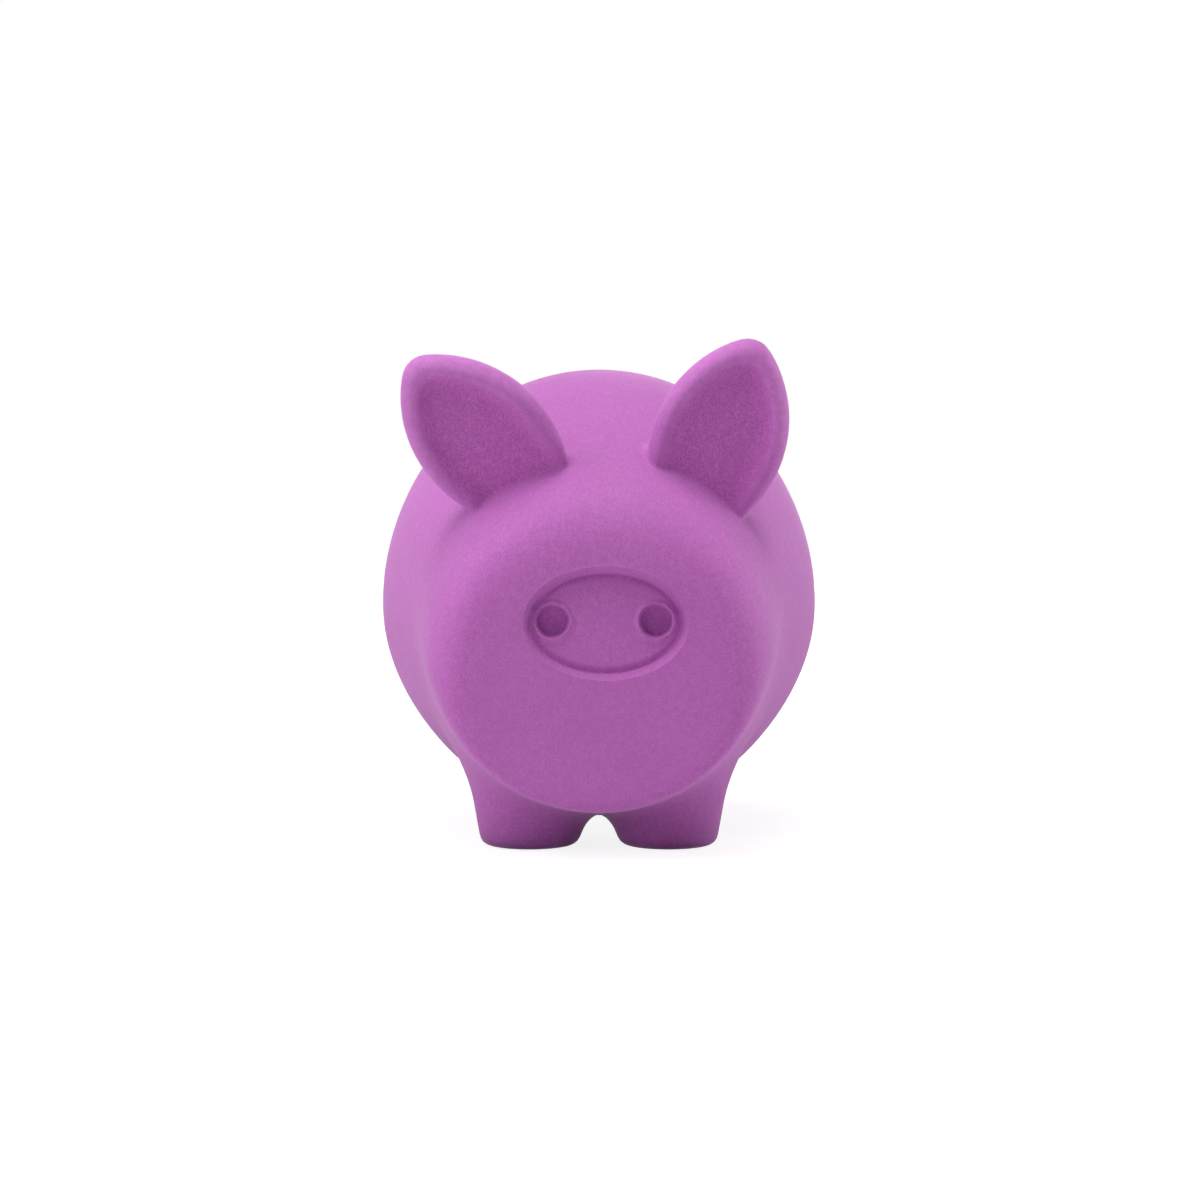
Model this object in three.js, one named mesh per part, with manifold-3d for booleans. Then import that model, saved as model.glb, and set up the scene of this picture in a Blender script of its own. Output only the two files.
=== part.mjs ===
// Stuffed latex pig for a dog: a moulded skin over fibre filling, with a squeaker pressed into the
// belly. Millimetres, +Z up. The face looks along -Y and the soles stand at z = 0.
import * as THREE from 'three';
import { mergeVertices } from 'three/addons/utils/BufferGeometryUtils.js';
import Module from 'manifold-3d';

const wasm = await Module();
wasm.setup();

// Fits and walls
const gap = 0.3; // between pieces that touch
const wall = 2.5; // latex of the body and the head
const fillingGap = 0.8; // fibre to latex

// Body, an ellipsoid over the floor
const bodyWidth = 79.2;
const bodyLength = 90;
const bodyHeight = 80;
const bodyMiddle = 43.4; // height of its widest level
const bodyY = 3;
const bellyClearance = 4.8;

// Head, a cone frustum that runs into the body, with a flat face under a rounded brow
const faceReach = 54; // from the body's middle to the face
const faceRadius = 29.3;
const headDepth = 44; // from the face to the frustum's end in the body
const headEndRadius = 33.2;
const headAxisHeight = 38.2;
const browHeight = 52; // where the face starts to lean back
const browMiddle = 18; // middle of the brow's round
const browWidth = 27.5; // half the width of the brow's round at its middle
const browRadius = 12;
const browBlend = 8;
const chinBlend = 1.8;
const cheekStart = 15; // height over which the head widens to the cheeks
const cheekRise = 25;
const cheekSpread = 0.085; // wider at the frustum's end, as a share
const cheekBlend = 8;
const liningBlend = 11; // the same edge inside the skin
const neckBlend = 10;
const neckReach = 27; // from the body's middle to where the head's skin ends

// Snout, an oval recess with two blind nostrils
const snoutHeight = 40.65;
const snoutShift = 1.22;
const snoutWidth = 27.6;
const snoutRise = 18.8;
const snoutDepth = 1;
const nostrilDiameter = 6;
const nostrilSpacing = 17.7;
const nostrilShift = -0.3; // from the oval's middle
const nostrilLift = 0.39;
const nostrilDepth = 3.4;
const padMargin = 3; // solid latex round the snout, behind the face

// Legs, tapered stubs
const legTrack = 24.4;
const frontLegReach = 32; // from the body's middle
const rearLegReach = 25;
const soleRadius = 8.6;
const legTopRadius = 13.2;
const legHeight = 26;
const footBlend = 2.9;
const legBlend = 6;
const legSkirt = 2; // how far the leg's fillet spreads over the trunk
const archBlend = 2;
const soleCut = 0.5; // taken off the round of the sole, so that it stands flat

// Ears, leaves between two arcs, cupped in front and bending on a round root
const earBaseWidth = 14.9;
const earLength = 33.2;
const earTipShift = -1;
const earOuterRadius = 22.9;
const earInnerRadius = 22.8;
const earTipBlend = 3;
const earThickness = 6;
const earRimRadius = 2.9;
const rimWidth = 3.4; // from the ear's edge to its cup
const cupStart = 10; // up the leaf, under which the cup runs on down as wide as there
const cupDepth = 2.2;
const cupRound = 3;
const cupBlend = 1.6;
const rootRise = 1.6; // the bending line over the head's surface
const rootSpan = 21; // length of the bending line
const rootMargin = 0.4; // the round of the root past the leaf's faces
const bossWall = 2.2; // latex under the root
// Spread from the middle plane, set back behind the face and sunk into the head
const leftEarPose = { spread: 18.31, setback: 16.8, sink: 5.87, lean: 22.3, pitch: 10, turn: 5 };
const rightEarPose = { spread: 13.67, setback: 13.4, sink: 4.44, lean: 45.2, pitch: 10, turn: 13 };

// Tail, a tapered curl on the rump
const tailHeight = 54;
const tailCurlRadius = 4.6;
const tailCurlEnd = 2.2;
const tailTurns = 1.3;
const tailRelief = 0.5; // share of the curl's radius that its middle stands off the rump
const tailRootRadius = 2.7;
const tailTipRadius = 1.5;

// Squeaker, a plastic cup through a collar in the belly
const flangeRadius = 10.8;
const flangeThickness = 1.4;
const flangeInset = 0.2; // flange under the belly's lowest point
const barrelRadius = 9;
const barrelWall = 1.2;
const barrelHeight = 15;
const barbWidth = 0.7;
const barbHeight = 1.4;
const collarHeight = 6;
const collarWall = 4.5;
const ledgeWidth = 0.8;
const ledgeDepth = 2;
const ventRadius = 2.4;
const capThickness = 1.6;
const socketWall = 0.9;
const socketDepth = 3.2;
const capHoleRadius = 0.8;
const capHoles = 6;
const blockRadius = 3.6;
const blockFlat = 0.4; // the flat lies this far in front of the block's axis
const blockFoot = 1.6;
const spigotDepth = 1.2;
const channelWidth = 2.6;
const channelDepth = 1.9;
const boreRadius = 1.2;
const reedWidth = 4.6;
const reedThickness = 0.3;
const wedgeHeight = 3;

// Sizes of the mesh's cubes
const skinCell = 5;
const liningCell = 7;
const legCell = 3.5;
const earCell = 2.1;
const tailCell = 1.5;
const cubeMargin = 0.03; // share of a cube that its vertex keeps off its sides
const weldLength = 0.02; // shorter edges are closed up
const sliverHeight = 0.005; // flatter triangles are turned
const roundSides = 24;
const holeSides = 12;

const latex = { color: 0xc577c3, roughness: 0.75, metalness: 0 };
const fibre = { color: 0xf2f0ea, roughness: 0.95, metalness: 0 };
const plastic = { color: 0xe9e7de, roughness: 0.45, metalness: 0 };
const reedFilm = { color: 0xd8dde2, roughness: 0.3, metalness: 0 };

const faceY = bodyY - faceReach;
const neckY = bodyY - neckReach;
const rootRadius = earThickness / 2 + rootMargin;
const reach = bodyWidth + bodyLength + bodyHeight + faceReach; // past everything

// Fields: signed distances in millimetres, negative inside

function smoothMin(a, b, blend) {
  const h = THREE.MathUtils.clamp(0.5 + (0.5 * (b - a)) / blend, 0, 1);
  return b + (a - b) * h - blend * h * (1 - h);
}

const smoothMax = (a, b, blend) => -smoothMin(-a, -b, blend);

function ellipsoid(x, y, z, rx, ry, rz) {
  const near = Math.hypot(x / rx, y / ry, z / rz);
  const slope = Math.hypot(x / rx ** 2, y / ry ** 2, z / rz ** 2);
  return (near * (near - 1)) / Math.max(slope, 1e-9);
}

// An ellipsoid with a deeper half over its widest level than under it
function bodyField(x, y, z) {
  const below = bodyMiddle - bellyClearance;
  const level = z - bodyMiddle;
  const drawn = level < 0 ? level : (level * below) / (bodyHeight - below);
  return ellipsoid(x, y - bodyY, drawn, bodyWidth / 2, bodyLength / 2, below);
}

function headField(x, y, z, leastBlend) {
  const taper = (headEndRadius - faceRadius) / headDepth;
  const radius = faceRadius + taper * (y - faceY);
  const cheek = THREE.MathUtils.smoothstep(z, cheekStart, cheekStart + cheekRise);
  const wide = 1 + cheekSpread * cheek * THREE.MathUtils.clamp((y - faceY) / headDepth, 0, 1);
  const side = (Math.hypot(x / wide, z - headAxisHeight) - radius) / Math.hypot(1, taper);
  const flat = browHeight - browMiddle;
  const round = Math.hypot((x * flat) / browWidth, Math.max(z - browMiddle, 0));
  const rise = smoothMax(round - flat, 0, browBlend);
  const lean = rise / browRadius;
  const face = (faceY + (rise * lean) / 2 - y) / Math.hypot(1, lean);
  const edge = Math.max(chinBlend + (cheekBlend - chinBlend) * cheek, leastBlend);
  return smoothMax(smoothMax(side, face, edge), y - faceY - headDepth, neckBlend);
}

const trunkField = (x, y, z, leastBlend = 0) =>
  smoothMin(bodyField(x, y, z), headField(x, y, z, leastBlend), neckBlend);

function legField(x, y, z, legX, legY) {
  const taper = (legTopRadius - soleRadius) / legHeight;
  const side = (Math.hypot(x - legX, y - legY) - soleRadius - taper * z) / Math.hypot(1, taper);
  return Math.max(smoothMax(side, -soleCut - z, footBlend), z - legHeight);
}

function legPairField(x, y, z, legY) {
  const left = legField(x, y, z, legTrack / 2, legY);
  const right = legField(x, y, z, -legTrack / 2, legY);
  return smoothMin(left, right, archBlend);
}

// Where a line from far outside first meets the trunk
function onTrunk(x, y, z, direction) {
  let outside = reach;
  let inside = 0;
  for (let step = 0; step < 60; step++) {
    const middle = (outside + inside) / 2;
    const point = direction.clone().multiplyScalar(middle);
    if (trunkField(x + point.x, y + point.y, z + point.z) > 0) outside = middle;
    else inside = middle;
  }
  return direction.clone().multiplyScalar(inside).add(new THREE.Vector3(x, y, z));
}

function slopeOf(field, p, step = 0.01) {
  const d = (i) => {
    const shift = [0, 0, 0];
    shift[i] = step;
    const ahead = field(p[0] + shift[0], p[1] + shift[1], p[2] + shift[2]);
    return (ahead - field(p[0] - shift[0], p[1] - shift[1], p[2] - shift[2])) / (2 * step);
  };
  return [d(0), d(1), d(2)];
}

// Where the corners of a cube's face lie in and out by turns, the surface would pinch there, so the
// corner that lies nearest to the surface is moved across it
function unpinch(values, stride) {
  for (let round = 0, pinched = 1; pinched > 0 && round < 8; round++) {
    pinched = 0;
    for (let axis = 0; axis < 3; axis++) {
      const [s, t] = [stride[(axis + 1) % 3], stride[(axis + 2) % 3]];
      for (let n = 0; n + s + t < values.length; n++) {
        const inside = values[n] < 0;
        if (values[n + s + t] < 0 !== inside) continue;
        if (values[n + s] < 0 === inside || values[n + t] < 0 === inside) continue;
        const face = [n, n + s, n + t, n + s + t];
        const nearest = face.reduce((a, b) => (Math.abs(values[b]) < Math.abs(values[a]) ? b : a));
        values[nearest] = values[nearest] < 0 ? 1e-6 : -1e-6;
        pinched++;
      }
    }
  }
}

// A closed mesh of a field's zero surface: one vertex in each cube that it crosses, drawn onto it,
// and one quad across each edge of the grid that it crosses
function mould(field, low, high, cell) {
  const start = low.map((v) => cell * Math.floor(v / cell)); // alike on both sides of x = 0
  const count = start.map((v, i) => Math.ceil((high[i] - v) / cell) + 1);
  const stride = [1, count[0], count[0] * count[1]];
  const values = new Float64Array(count[0] * count[1] * count[2]);
  const place = (n) => [
    start[0] + cell * (n % count[0]),
    start[1] + cell * (Math.floor(n / stride[1]) % count[1]),
    start[2] + cell * Math.floor(n / stride[2]),
  ];
  for (let n = 0; n < values.length; n++) values[n] = field(...place(n));
  unpinch(values, stride);

  const corners = [0, 1, 2, 3, 4, 5, 6, 7].map((c) => [c & 1, (c >> 1) & 1, c >> 2]);
  const vertices = [];
  const vertexOf = new Map();
  const vertexIn = (n) => {
    if (vertexOf.has(n)) return vertexOf.get(n);
    const at = corners.map((c) => values[n + c[0] * stride[0] + c[1] * stride[1] + c[2] * stride[2]]);
    const sum = [0, 0, 0];
    let crossings = 0;
    for (let a = 0; a < 8; a++) {
      for (const bit of [1, 2, 4]) {
        const b = a | bit;
        if (a & bit || at[a] < 0 === at[b] < 0) continue;
        const t = at[a] / (at[a] - at[b]);
        for (let i = 0; i < 3; i++) sum[i] += corners[a][i] + t * (corners[b][i] - corners[a][i]);
        crossings++;
      }
    }
    const corner = place(n);
    const p = corner.map((v, i) => v + (cell * sum[i]) / crossings);
    for (let pull = 0; pull < 4; pull++) {
      const slope = slopeOf(field, p);
      const move = field(...p) / Math.max(Math.hypot(...slope) ** 2, 1e-6);
      for (let i = 0; i < 3; i++) {
        const [low, high] = [corner[i] + cubeMargin * cell, corner[i] + (1 - cubeMargin) * cell];
        p[i] = THREE.MathUtils.clamp(p[i] - move * slope[i], low, high);
      }
    }
    vertexOf.set(n, vertices.length / 3);
    vertices.push(...p);
    return vertexOf.get(n);
  };

  const triangles = [];
  const distance = (a, b) =>
    Math.hypot(...[0, 1, 2].map((i) => vertices[3 * a + i] - vertices[3 * b + i]));
  for (let n = 0; n < values.length; n++) {
    for (let axis = 0; axis < 3; axis++) {
      const next = n + stride[axis];
      if (next >= values.length || values[n] < 0 === values[next] < 0) continue;
      const [s, t] = [stride[(axis + 1) % 3], stride[(axis + 2) % 3]];
      const quad = [n - s - t, n - t, n, n - s].map(vertexIn);
      if (values[n] >= 0) quad.reverse();
      const [a, b, c, d] = quad;
      if (distance(a, c) < distance(b, d)) triangles.push(a, b, c, a, c, d);
      else triangles.push(b, c, d, b, d, a);
    }
  }
  const geometry = new THREE.BufferGeometry();
  geometry.setAttribute('position', new THREE.Float32BufferAttribute(vertices, 3));
  geometry.setIndex(triangles);
  return solid(geometry);
}

// Solids for joining and cutting

function solid(geometry) {
  const bare = geometry.clone();
  bare.deleteAttribute('normal');
  bare.deleteAttribute('uv');
  const merged = mergeVertices(bare, 1e-5);
  return new wasm.Manifold(
    new wasm.Mesh({
      numProp: 3,
      vertProperties: new Float32Array(merged.attributes.position.array),
      triVerts: new Uint32Array(merged.index.array),
    }),
  );
}

// Cutting leaves slivers. Short edges are closed up and flat triangles turned, where the surface stays
// whole and no triangle is folded over.
function cleaned({ vertProperties, triVerts }) {
  const points = [];
  for (let i = 0; i < vertProperties.length; i += 3) {
    points.push(new THREE.Vector3().fromArray(vertProperties, i));
  }
  const faces = [];
  const facesAt = points.map(() => new Set());
  const put = (face, n) => {
    faces[n] = face;
    face.forEach((v) => facesAt[v].add(n));
  };
  const take = (n) => {
    faces[n].forEach((v) => facesAt[v].delete(n));
    faces[n] = null;
  };
  for (let i = 0; i < triVerts.length; i += 3) put([...triVerts.slice(i, i + 3)], i / 3);

  const neighbours = (v) => new Set([...facesAt[v]].flatMap((n) => faces[n]).filter((other) => other !== v));
  const across = (a, b) => [...facesAt[a]].filter((n) => facesAt[b].has(n));
  const normal = (face) => {
    const [a, b, c] = face.map((v) => points[v]);
    return b.clone().sub(a).cross(c.clone().sub(a));
  };
  const longest = (face) => Math.max(...face.map((v, i) => points[v].distanceTo(points[face[(i + 1) % 3]])));
  const height = (face) => normal(face).length() / Math.max(longest(face), 1e-12);

  const closeUp = (a, b) => {
    const shared = across(a, b);
    const around = neighbours(b);
    if (shared.length !== 2 || [...neighbours(a)].filter((v) => around.has(v)).length !== 2) return;
    const moved = [...facesAt[b]].filter((n) => !shared.includes(n));
    const after = moved.map((n) => faces[n].map((v) => (v === b ? a : v)));
    const folds = after.some((face, i) => height(faces[moved[i]]) > sliverHeight
      && normal(face).normalize().dot(normal(faces[moved[i]]).normalize()) < 0.5);
    if (folds) return;
    [...shared, ...moved].forEach(take);
    moved.forEach((n, i) => put(after[i], n));
  };

  const turn = (n) => {
    const reachOf = (i) => points[faces[n][i]].distanceTo(points[faces[n][(i + 1) % 3]]);
    const side = [0, 1, 2].reduce((best, i) => (reachOf(i) > reachOf(best) ? i : best), 0);
    const [a, b, c] = [0, 1, 2].map((i) => faces[n][(side + i) % 3]);
    const other = across(a, b).find((m) => m !== n);
    const d = faces[other].find((v) => v !== a && v !== b);
    const after = [[a, d, c], [d, b, c]];
    if (neighbours(c).has(d) || Math.min(...after.map(height)) <= height(faces[n])) return;
    const facing = normal(faces[other]).normalize();
    if (after.some((face) => normal(face).normalize().dot(facing) < 0.5)) return;
    [n, other].forEach(take);
    [n, other].forEach((m, i) => put(after[i], m));
  };

  for (let pass = 0; pass < 3; pass++) {
    for (let n = 0; n < faces.length; n++) {
      for (let i = 0; i < 3 && faces[n]; i++) {
        const [a, b] = [faces[n][i], faces[n][(i + 1) % 3]];
        if (points[a].distanceTo(points[b]) < weldLength) closeUp(a, b);
      }
    }
    for (let n = 0; n < faces.length; n++) if (faces[n] && height(faces[n]) < sliverHeight) turn(n);
  }
  const geometry = new THREE.BufferGeometry();
  geometry.setAttribute('position', new THREE.Float32BufferAttribute(points.flatMap((p) => p.toArray()), 3));
  geometry.setIndex(faces.filter((face) => face).flat());
  return mergeVertices(geometry, 1e-6);
}

function mesh(name, form, material) {
  const geometry = cleaned(form.getMesh());
  geometry.computeVertexNormals();
  const piece = new THREE.Mesh(geometry, new THREE.MeshStandardMaterial(material));
  piece.name = name;
  return piece;
}

// A block between two corners
function block(low, high) {
  const box = new THREE.BoxGeometry(...high.map((v, i) => v - low[i]));
  return solid(box.translate(...high.map((v, i) => (v + low[i]) / 2)));
}

// An upright cylinder between two heights
function post(x, y, radius, bottom, top, sides = roundSides) {
  const form = new THREE.CylinderGeometry(radius, radius, top - bottom, sides);
  return solid(form.rotateX(Math.PI / 2).translate(x, y, (top + bottom) / 2));
}

// A solid of revolution about Z from pairs of radius and height
function turned(profile) {
  const points = profile.map(([radius, height]) => new THREE.Vector2(radius, height));
  return solid(new THREE.LatheGeometry(points, roundSides).rotateX(Math.PI / 2));
}

const far = [reach, reach, reach];
const box = (low, high) => block(low.map((v, i) => v ?? -far[i]), high.map((v, i) => v ?? far[i]));

// The trunk's form, set in by a depth or out by a negative one
function trunk(inset, cell, leastBlend = 0) {
  const margin = 2 * cell + Math.max(-inset, 0);
  const half = Math.max(bodyWidth / 2, headEndRadius * (1 + cheekSpread)) + margin;
  const rear = bodyY + bodyLength / 2 + margin;
  const top = Math.max(bellyClearance + bodyHeight, headAxisHeight + headEndRadius) + margin;
  const bottom = Math.min(bellyClearance, headAxisHeight - headEndRadius) - margin;
  const field = (x, y, z) => trunkField(x, y, z, leastBlend) + inset;
  return mould(field, [-half, faceY - margin, bottom], [half, rear, top], cell);
}

const trunkSkin = trunk(0, skinCell);
const trunkCavity = trunk(wall, liningCell, liningBlend);
const trunkClear = trunk(-gap, skinCell);

// Ears

const earPoses = { left: [1, leftEarPose], right: [-1, rightEarPose] };

// The ear's place: its leaf's frame, and the frame of the line that it bends on
function earPlace(hand) {
  const [side, pose] = earPoses[hand];
  const [lean, pitch, turn] = [pose.lean, pose.pitch, pose.turn].map(THREE.MathUtils.degToRad);
  const seat = onTrunk(side * pose.spread, faceY + pose.setback, headAxisHeight, new THREE.Vector3(0, 0, 1));
  const outward = new THREE.Vector3(...slopeOf(trunkField, seat.toArray())).normalize();
  const spin = new THREE.Matrix4().makeRotationFromEuler(
    new THREE.Euler(pitch, side * lean, side * turn, 'YXZ'),
  );
  const up = new THREE.Vector3(0, 0, 1).applyMatrix4(spin);
  const back = new THREE.Vector3(0, 1, 0).applyMatrix4(spin);
  const leaf = spin.clone().setPosition(seat.clone().addScaledVector(up, -pose.sink));
  const axis = new THREE.Vector3().crossVectors(back, outward).normalize();
  const rise = new THREE.Vector3().crossVectors(axis, back).normalize();
  const centre = seat.clone().addScaledVector(rise, rootRise);
  const root = new THREE.Matrix4().makeBasis(axis, back, rise).setPosition(centre);
  return { side, leaf, root, axis, rise, centre };
}

// The middle of an arc over a chord, on the side that makes it bulge away from the leaf
function arcMiddle(from, to, radius) {
  const chord = new THREE.Vector2().subVectors(to, from);
  const half = chord.length() / 2;
  const depth = Math.sqrt(Math.max(radius ** 2 - half ** 2, 0));
  const inward = new THREE.Vector2(-chord.y, chord.x).normalize();
  return from.clone().add(to).multiplyScalar(0.5).addScaledVector(inward, depth);
}

function earField(place) {
  const tip = new THREE.Vector2(earTipShift, earLength);
  const outer = arcMiddle(new THREE.Vector2(earBaseWidth / 2, 0), tip, earOuterRadius);
  const inner = arcMiddle(tip, new THREE.Vector2(-earBaseWidth / 2, 0), earInnerRadius);
  const toLeaf = place.leaf.clone().invert();
  const p = new THREE.Vector3();
  const outline = (u, w) => smoothMax(
    Math.hypot(u - outer.x, w - outer.y) - earOuterRadius,
    Math.hypot(u - inner.x, w - inner.y) - earInnerRadius,
    earTipBlend,
  );
  return (x, y, z) => {
    const height = p.set(x, y, z).sub(place.centre).dot(place.rise);
    p.set(x, y, z).applyMatrix4(toLeaf);
    const [u, w, n] = [place.side * p.x, p.z, -p.y];
    const [a, b] = [outline(u, w) + earRimRadius, Math.abs(n) - earThickness / 2 + earRimRadius];
    const plate = Math.min(Math.max(a, b), 0) + Math.hypot(Math.max(a, 0), Math.max(b, 0)) - earRimRadius;
    const hollow = outline(u, Math.max(w, cupStart)) + rimWidth;
    const cup = smoothMax(hollow, earThickness / 2 - cupDepth - n, cupRound);
    return smoothMax(plate, -smoothMax(cup, -height, cupRound), cupBlend);
  };
}

// A cylinder along the line that an ear bends on
function rootRound(place, radius, span) {
  const form = new THREE.CylinderGeometry(radius, radius, span, roundSides);
  return solid(form.rotateZ(Math.PI / 2).applyMatrix4(place.root));
}

function ear(hand) {
  const place = earPlace(hand);
  const size = earLength + earBaseWidth;
  const low = place.centre.toArray().map((v) => v - size);
  const high = place.centre.toArray().map((v) => v + size);
  const leaf = mould(earField(place), low, high, earCell);
  const above = new THREE.BoxGeometry(2 * reach, 2 * reach, reach).translate(0, 0, reach / 2);
  const kept = solid(above.applyMatrix4(place.root)).add(rootRound(place, rootRadius, rootSpan));
  const piece = mesh(`ear_${hand}`, leaf.intersect(kept), latex);
  piece.userData = { hingePoint: place.centre.toArray(), hingeAxis: place.axis.toArray() };
  return piece;
}

function earSeat(hand, grow) {
  return rootRound(earPlace(hand), rootRadius + gap + grow, rootSpan + 2 * (gap + grow));
}

const earBoss = (hand, grow) => earSeat(hand, bossWall + grow);

// Head

// An oval column along Y, from in front of the face to a depth behind it
function snoutColumn(grow, depth) {
  const outline = new THREE.Shape();
  outline.absellipse(0, 0, snoutWidth / 2 + grow, snoutRise / 2 + grow, 0, 2 * Math.PI);
  const form = new THREE.ExtrudeGeometry(outline, {
    depth: faceReach + depth,
    bevelEnabled: false,
    curveSegments: roundSides / 2,
  });
  form.rotateX(Math.PI / 2).translate(snoutShift, faceY + depth, snoutHeight);
  return solid(form);
}

const padDepth = snoutDepth + nostrilDepth + wall;
const snoutPad = (grow) => snoutColumn(padMargin + grow, padDepth + grow);

function nostril(side) {
  const depth = snoutDepth + nostrilDepth;
  const form = new THREE.CylinderGeometry(nostrilDiameter / 2, nostrilDiameter / 2, 2 * depth, roundSides);
  const x = snoutShift + nostrilShift + (side * nostrilSpacing) / 2;
  return solid(form.translate(x, faceY, snoutHeight + nostrilLift));
}

function headSkin() {
  const cavity = trunkCavity.subtract(snoutPad(0)).subtract(earBoss('left', 0)).subtract(earBoss('right', 0));
  let form = trunkSkin.subtract(cavity).intersect(box([null, null, null], [null, neckY - gap / 2, null]));
  const oval = snoutColumn(0, padDepth);
  form = form.subtract(oval.subtract(trunk(snoutDepth, skinCell)));
  form = form.subtract(nostril(1)).subtract(nostril(-1));
  for (const hand of ['left', 'right']) form = form.subtract(earSeat(hand, 0));
  return mesh('head_skin', form, latex);
}

// Body

const bellyZ = bellyClearance;
const flangeBottom = bellyZ + flangeInset;
const flangeTop = flangeBottom + flangeThickness;
const collarTop = bellyZ + collarHeight;
const barrelTop = flangeBottom + barrelHeight;
const barbBottom = collarTop + gap;

const collar = (grow) =>
  post(0, bodyY, barrelRadius + gap + collarWall + grow, bellyZ - barrelHeight, collarTop + grow);

function bodySkin() {
  let form = trunkSkin.subtract(trunkCavity.subtract(collar(0)));
  form = form.intersect(box([null, neckY + gap / 2, null], [null, null, null]));
  form = form.subtract(post(0, bodyY, barrelRadius + gap, -reach, collarTop + barrelHeight));
  form = form.subtract(post(0, bodyY, flangeRadius + gap, -reach, flangeTop + gap));
  return mesh('body_skin', form, latex);
}

function filling() {
  const roomRadius = barrelRadius + barbWidth + gap;
  const form = trunk(wall + fillingGap, liningCell, liningBlend)
    .subtract(collar(gap))
    .subtract(post(0, bodyY, roomRadius, 0, barrelTop + gap))
    .subtract(snoutPad(gap))
    .subtract(earBoss('left', gap))
    .subtract(earBoss('right', gap));
  return mesh('fibre_filling', form, fibre);
}

// Legs and tail

function leg(name, side, legY) {
  const half = legTopRadius + 2 * legBlend;
  const field = (x, y, z) => {
    const joined = smoothMin(trunkField(x, y, z), legPairField(x, y, z, legY), legBlend);
    const region = Math.max(Math.abs(y - legY) - half, Math.abs(x) - legTrack / 2 - half, z - legHeight);
    return Math.max(joined, region);
  };
  const margin = 2 * legCell;
  const low = [-legTrack / 2 - half - margin, legY - half - margin, -soleCut - margin];
  const high = [legTrack / 2 + half + margin, legY + half + margin, legHeight + margin];
  const zone = (x, y, z) => legPairField(x, y, z, legY) - legSkirt;
  const [leftEnd, rightEnd] = side > 0 ? [gap / 2, null] : [null, -gap / 2];
  const form = mould(field, low, high, legCell)
    .intersect(mould(zone, low, high, legCell))
    .intersect(box([leftEnd, null, 0], [rightEnd, null, null]))
    .subtract(trunkClear);
  return mesh(name, form, latex);
}

function tail() {
  const backwards = new THREE.Vector3(0, 1, 0);
  const rumpY = onTrunk(0, bodyY, tailHeight, backwards).y;
  const beads = [];
  const steps = 40;
  for (let i = 0; i <= steps; i++) {
    const t = i / steps;
    const angle = 2 * Math.PI * tailTurns * t;
    const radius = THREE.MathUtils.lerp(tailCurlRadius, tailCurlEnd, t);
    const thickness = THREE.MathUtils.lerp(tailRootRadius, tailTipRadius, t);
    const [x, z] = [radius * Math.sin(angle), tailHeight + radius * Math.cos(angle)];
    const y = onTrunk(x, bodyY, z, backwards).y + tailRelief * thickness;
    beads.push({ x, y, z, radius: thickness });
  }
  const field = (x, y, z) =>
    Math.min(...beads.map((b) => Math.hypot(x - b.x, y - b.y, z - b.z) - b.radius));
  const size = tailCurlRadius + tailRootRadius + 2 * tailCell;
  const low = [-size, rumpY - size, tailHeight - size];
  const high = [size, rumpY + size, tailHeight + size];
  return mesh('tail', mould(field, low, high, tailCell).subtract(trunkClear), latex);
}

// Squeaker

const boreTop = barrelTop - ledgeDepth;
const capBottom = boreTop + gap;
const boreInside = barrelRadius - barrelWall - ledgeWidth;
const blockTop = capBottom - gap;
const blockBottom = flangeTop + gap;
const socketRadius = blockRadius + gap;

function at(form) {
  return form.translate([0, bodyY, 0]);
}

function squeakerHousing() {
  const form = turned([
    [ventRadius, flangeBottom],
    [flangeRadius, flangeBottom],
    [flangeRadius, flangeTop],
    [barrelRadius, flangeTop],
    [barrelRadius, barbBottom],
    [barrelRadius + barbWidth, barbBottom],
    [barrelRadius, barbBottom + barbHeight],
    [barrelRadius, barrelTop],
    [barrelRadius - barrelWall, barrelTop],
    [barrelRadius - barrelWall, boreTop],
    [boreInside, boreTop],
    [boreInside, flangeTop],
    [ventRadius, flangeTop],
    [ventRadius, flangeBottom],
  ]);
  return mesh('squeaker_housing', at(form), plastic);
}

function squeakerCap() {
  const rim = barrelRadius - barrelWall - gap;
  const socketOuter = socketRadius + socketWall;
  let form = turned([
    [0, capBottom],
    [socketRadius, capBottom],
    [socketRadius, capBottom - socketDepth],
    [socketOuter, capBottom - socketDepth],
    [socketOuter, capBottom],
    [rim, capBottom],
    [rim, capBottom + capThickness],
    [0, capBottom + capThickness],
  ]);
  const ring = (socketOuter + boreInside) / 2;
  for (let i = 0; i < capHoles; i++) {
    const angle = (2 * Math.PI * i) / capHoles;
    const [x, y] = [ring * Math.cos(angle), ring * Math.sin(angle)];
    const [bottom, top] = [capBottom - gap, capBottom + capThickness + gap];
    form = form.subtract(post(x, y, capHoleRadius, bottom, top, holeSides));
  }
  return mesh('squeaker_cap', at(form), plastic);
}

const reedBack = -blockFlat - gap; // the reed's face towards the block
const reedFront = reedBack - reedThickness;
const wedgeBottom = blockTop - wedgeHeight;

function reedBlock() {
  const footTop = blockBottom + blockFoot;
  const spigot = ventRadius - gap;
  let form = turned([
    [0, flangeTop - spigotDepth],
    [spigot, flangeTop - spigotDepth],
    [spigot, blockBottom],
    [blockRadius, blockBottom],
    [blockRadius, blockTop],
    [0, blockTop],
  ]);
  form = form.subtract(box([null, null, footTop], [null, -blockFlat, null]));
  const channelTop = wedgeBottom - gap;
  form = form.subtract(
    block(
      [-channelWidth / 2, -blockFlat - gap, footTop],
      [channelWidth / 2, channelDepth - blockFlat, channelTop],
    ),
  );
  form = form.subtract(post(0, 0, boreRadius, -reach, footTop + gap));
  return mesh('reed_block', at(form), plastic);
}

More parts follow.
